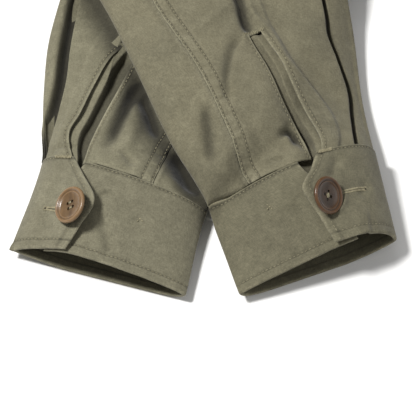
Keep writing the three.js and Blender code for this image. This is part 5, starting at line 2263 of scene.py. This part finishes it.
LEFT_CREASES = (
    Crease(((-38, 96), (-46, 84), (-52, 74), (-56, 62), (-60, 50), (-65, 36),
            (-71, 20)), -6.0, 4.2),
    Crease(((-38, 86), (-42.3, 73.3), (-38.9, 62.6), (-35.6, 49.1), (-34, 40)), -5.0, 2.8, 1.4),
    Crease(((-23, 37), (-18.5, 27), (-14.5, 17.5), (-11.5, 9), (-8, -3)), -10.5, 6.5),
    Crease(((-48.5, 72), (-46.5, 58), (-50, 42), (-57, 24)), 1.8, 4.0),
    Crease(((-58, 30), (-53, 22), (-50, 14)), -2.2, 3.0),
    Crease(((-33, 12), (-24, 8), (-14, 3.5), (-6, -2)), 2.2, 2.6),
    Crease(((-104, 34), (-96, 33), (-88, 30)), -1.8, 1.8),
)
RIGHT_CREASES = (
    Crease(((24, 108), (21, 101), (16.7, 94), (14.2, 83.5), (12.6, 70.6), (13.3, 57),
            (15, 50)), -3.4, 2.0, 2.0),
    Crease(((-3, 58), (-1.3, 45.6), (0, 33), (1.3, 19), (4, 4)), -4.5, 4.2),
    Crease(((8, 24), (12, 12), (14, 2)), 1.6, 3.0),
    Crease(((46, 27), (50, 34), (54.5, 34.5), (57, 29), (56.5, 20)), -4.6, 2.4),
    Crease(((52, 44), (55, 36), (61, 28), (64, 20)), -3.5, 2.6),
    Crease(((33, 8), (40, 13), (47, 15), (54, 14)), -1.8, 1.8),
    Crease(((10, 160), (17, 142), (21.5, 130), (24, 118), (26.5, 111), (29, 104)),
           -7.5, 3.2),
    Crease(((26, 150), (28, 131), (31, 121), (40, 110), (46, 100), (52.5, 86.4),
            (61, 78), (70, 71)), 1.7, 2.2),
    Crease(((44, 84), (50, 70), (56, 58), (62, 44)), 1.0, 4.0),
    Crease(((84.4, 107), (90, 96), (97, 84), (102, 66), (103, 48)), 1.3, 2.6),
    Crease(((-8, 70), (-14, 52), (-16, 38)), -1.6, 6.0),
    Crease(((12, 130), (4, 118), (-14, 104)), 0.8, 2.2),
    Crease(((22, 44), (30, 34), (36, 22)), -1.2, 5.0),
)
LEFT_CUFF_CREASES = (
    Crease(((-74, -10), (-68, -5.5), (-60, -6.5)), -1.6, 1.8),
    Crease(((-72, -16), (-70, -24), (-65, -40), (-68, -54)), -2.6, 3.4),
    Crease(((-66, -20), (-52, -14), (-40, -16)), -0.9, 5.0),
    Crease(((-48.5, -20), (-46, -25), (-44, -29)), -1.0, 3.0),
)
LEFT_TAB_CREASES = (
    Crease(((-109, -12), (-107.4, -19), (-104, -26.5), (-98.7, -31), (-93, -31.2)), -1.6, 2.2),
    Crease(((-104, 8), (-98, 0), (-92, -2)), -1.0, 3.0),
    Crease(((-94, 20), (-91, 10), (-86, 2)), -0.8, 2.4),
)
RIGHT_CUFF_CREASES = (
    Crease(((36, -24), (42, -28), (46, -34)), -1.2, 3.0),
    Crease(((10, -20), (28, -6), (52, 2)), -0.8, 5.0),
    Crease(((56, -10), (62, -24), (72, -40)), -1.0, 4.0),
)
RIGHT_TAB_CREASES = (
    Crease(((91.5, -8), (90.7, -12), (90, -17.5), (86.5, -24), (82, -27)), 1.5, 1.3),
    Crease(((88, 18), (84, 10), (82, 2), (76, -4)), -2.4, 3.4),
    Crease(((106, 2), (103, -6.6), (99, -12)), -1.8, 3.2),
    Crease(((104.5, -18), (105.5, -28), (106.5, -40), (107, -58)), 1.4, 0.7, 8.0),
)


def main() -> None:
    """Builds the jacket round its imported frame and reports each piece."""
    logging.basicConfig(level=logging.INFO, format="%(name)s: %(message)s")
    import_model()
    place = Place.from_frame()
    shop = Shop(place, Wardrobe.made())
    left = SleeveForm(Side.LEFT, LEFT_STATIONS, LEFT_LINES, LEFT_CUFF_ENDS,
                      ButtonPlace(0.36, 0.43, tilt=-41.0, turn=8.0), LEFT_CREASES,
                      pleat_depth=13.0, pleat_width=10.5)
    right = SleeveForm(Side.RIGHT, RIGHT_STATIONS, RIGHT_LINES, RIGHT_CUFF_ENDS,
                       ButtonPlace(0.2, 0.5, tilt=44.0, turn=45.0), RIGHT_CREASES,
                       pleat_depth=5.5, pleat_width=3.2, below=left.hill)
    left.cover = right
    finish = shop.finish
    Studio(place).build()
    Sleeve(shop, left, finish.cotton, hollow_depth=7.0).build()
    Sleeve(shop, right, finish.right_cotton, hollow_depth=3.0).build()
    Cuff(shop, left, slit=(0.5, 0.72), mark=(-0.32, 0.58), bartack=(0.8, 0.62), gape=1.6,
         cloth=finish.cuff, button_material=finish.button,
         creases=LEFT_CUFF_CREASES, tab_creases=LEFT_TAB_CREASES).build()
    Cuff(shop, right, slit=(0.4, 0.69), mark=(-0.38, 0.68), bartack=(0.44, 0.3), gape=0.0,
         cloth=finish.right_cuff, button_material=finish.rust_button,
         creases=RIGHT_CUFF_CREASES, tab_creases=RIGHT_TAB_CREASES).build()
    Body(shop).build()
    Collar(shop).build()
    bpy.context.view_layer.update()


if __name__ == "__main__":
    main()
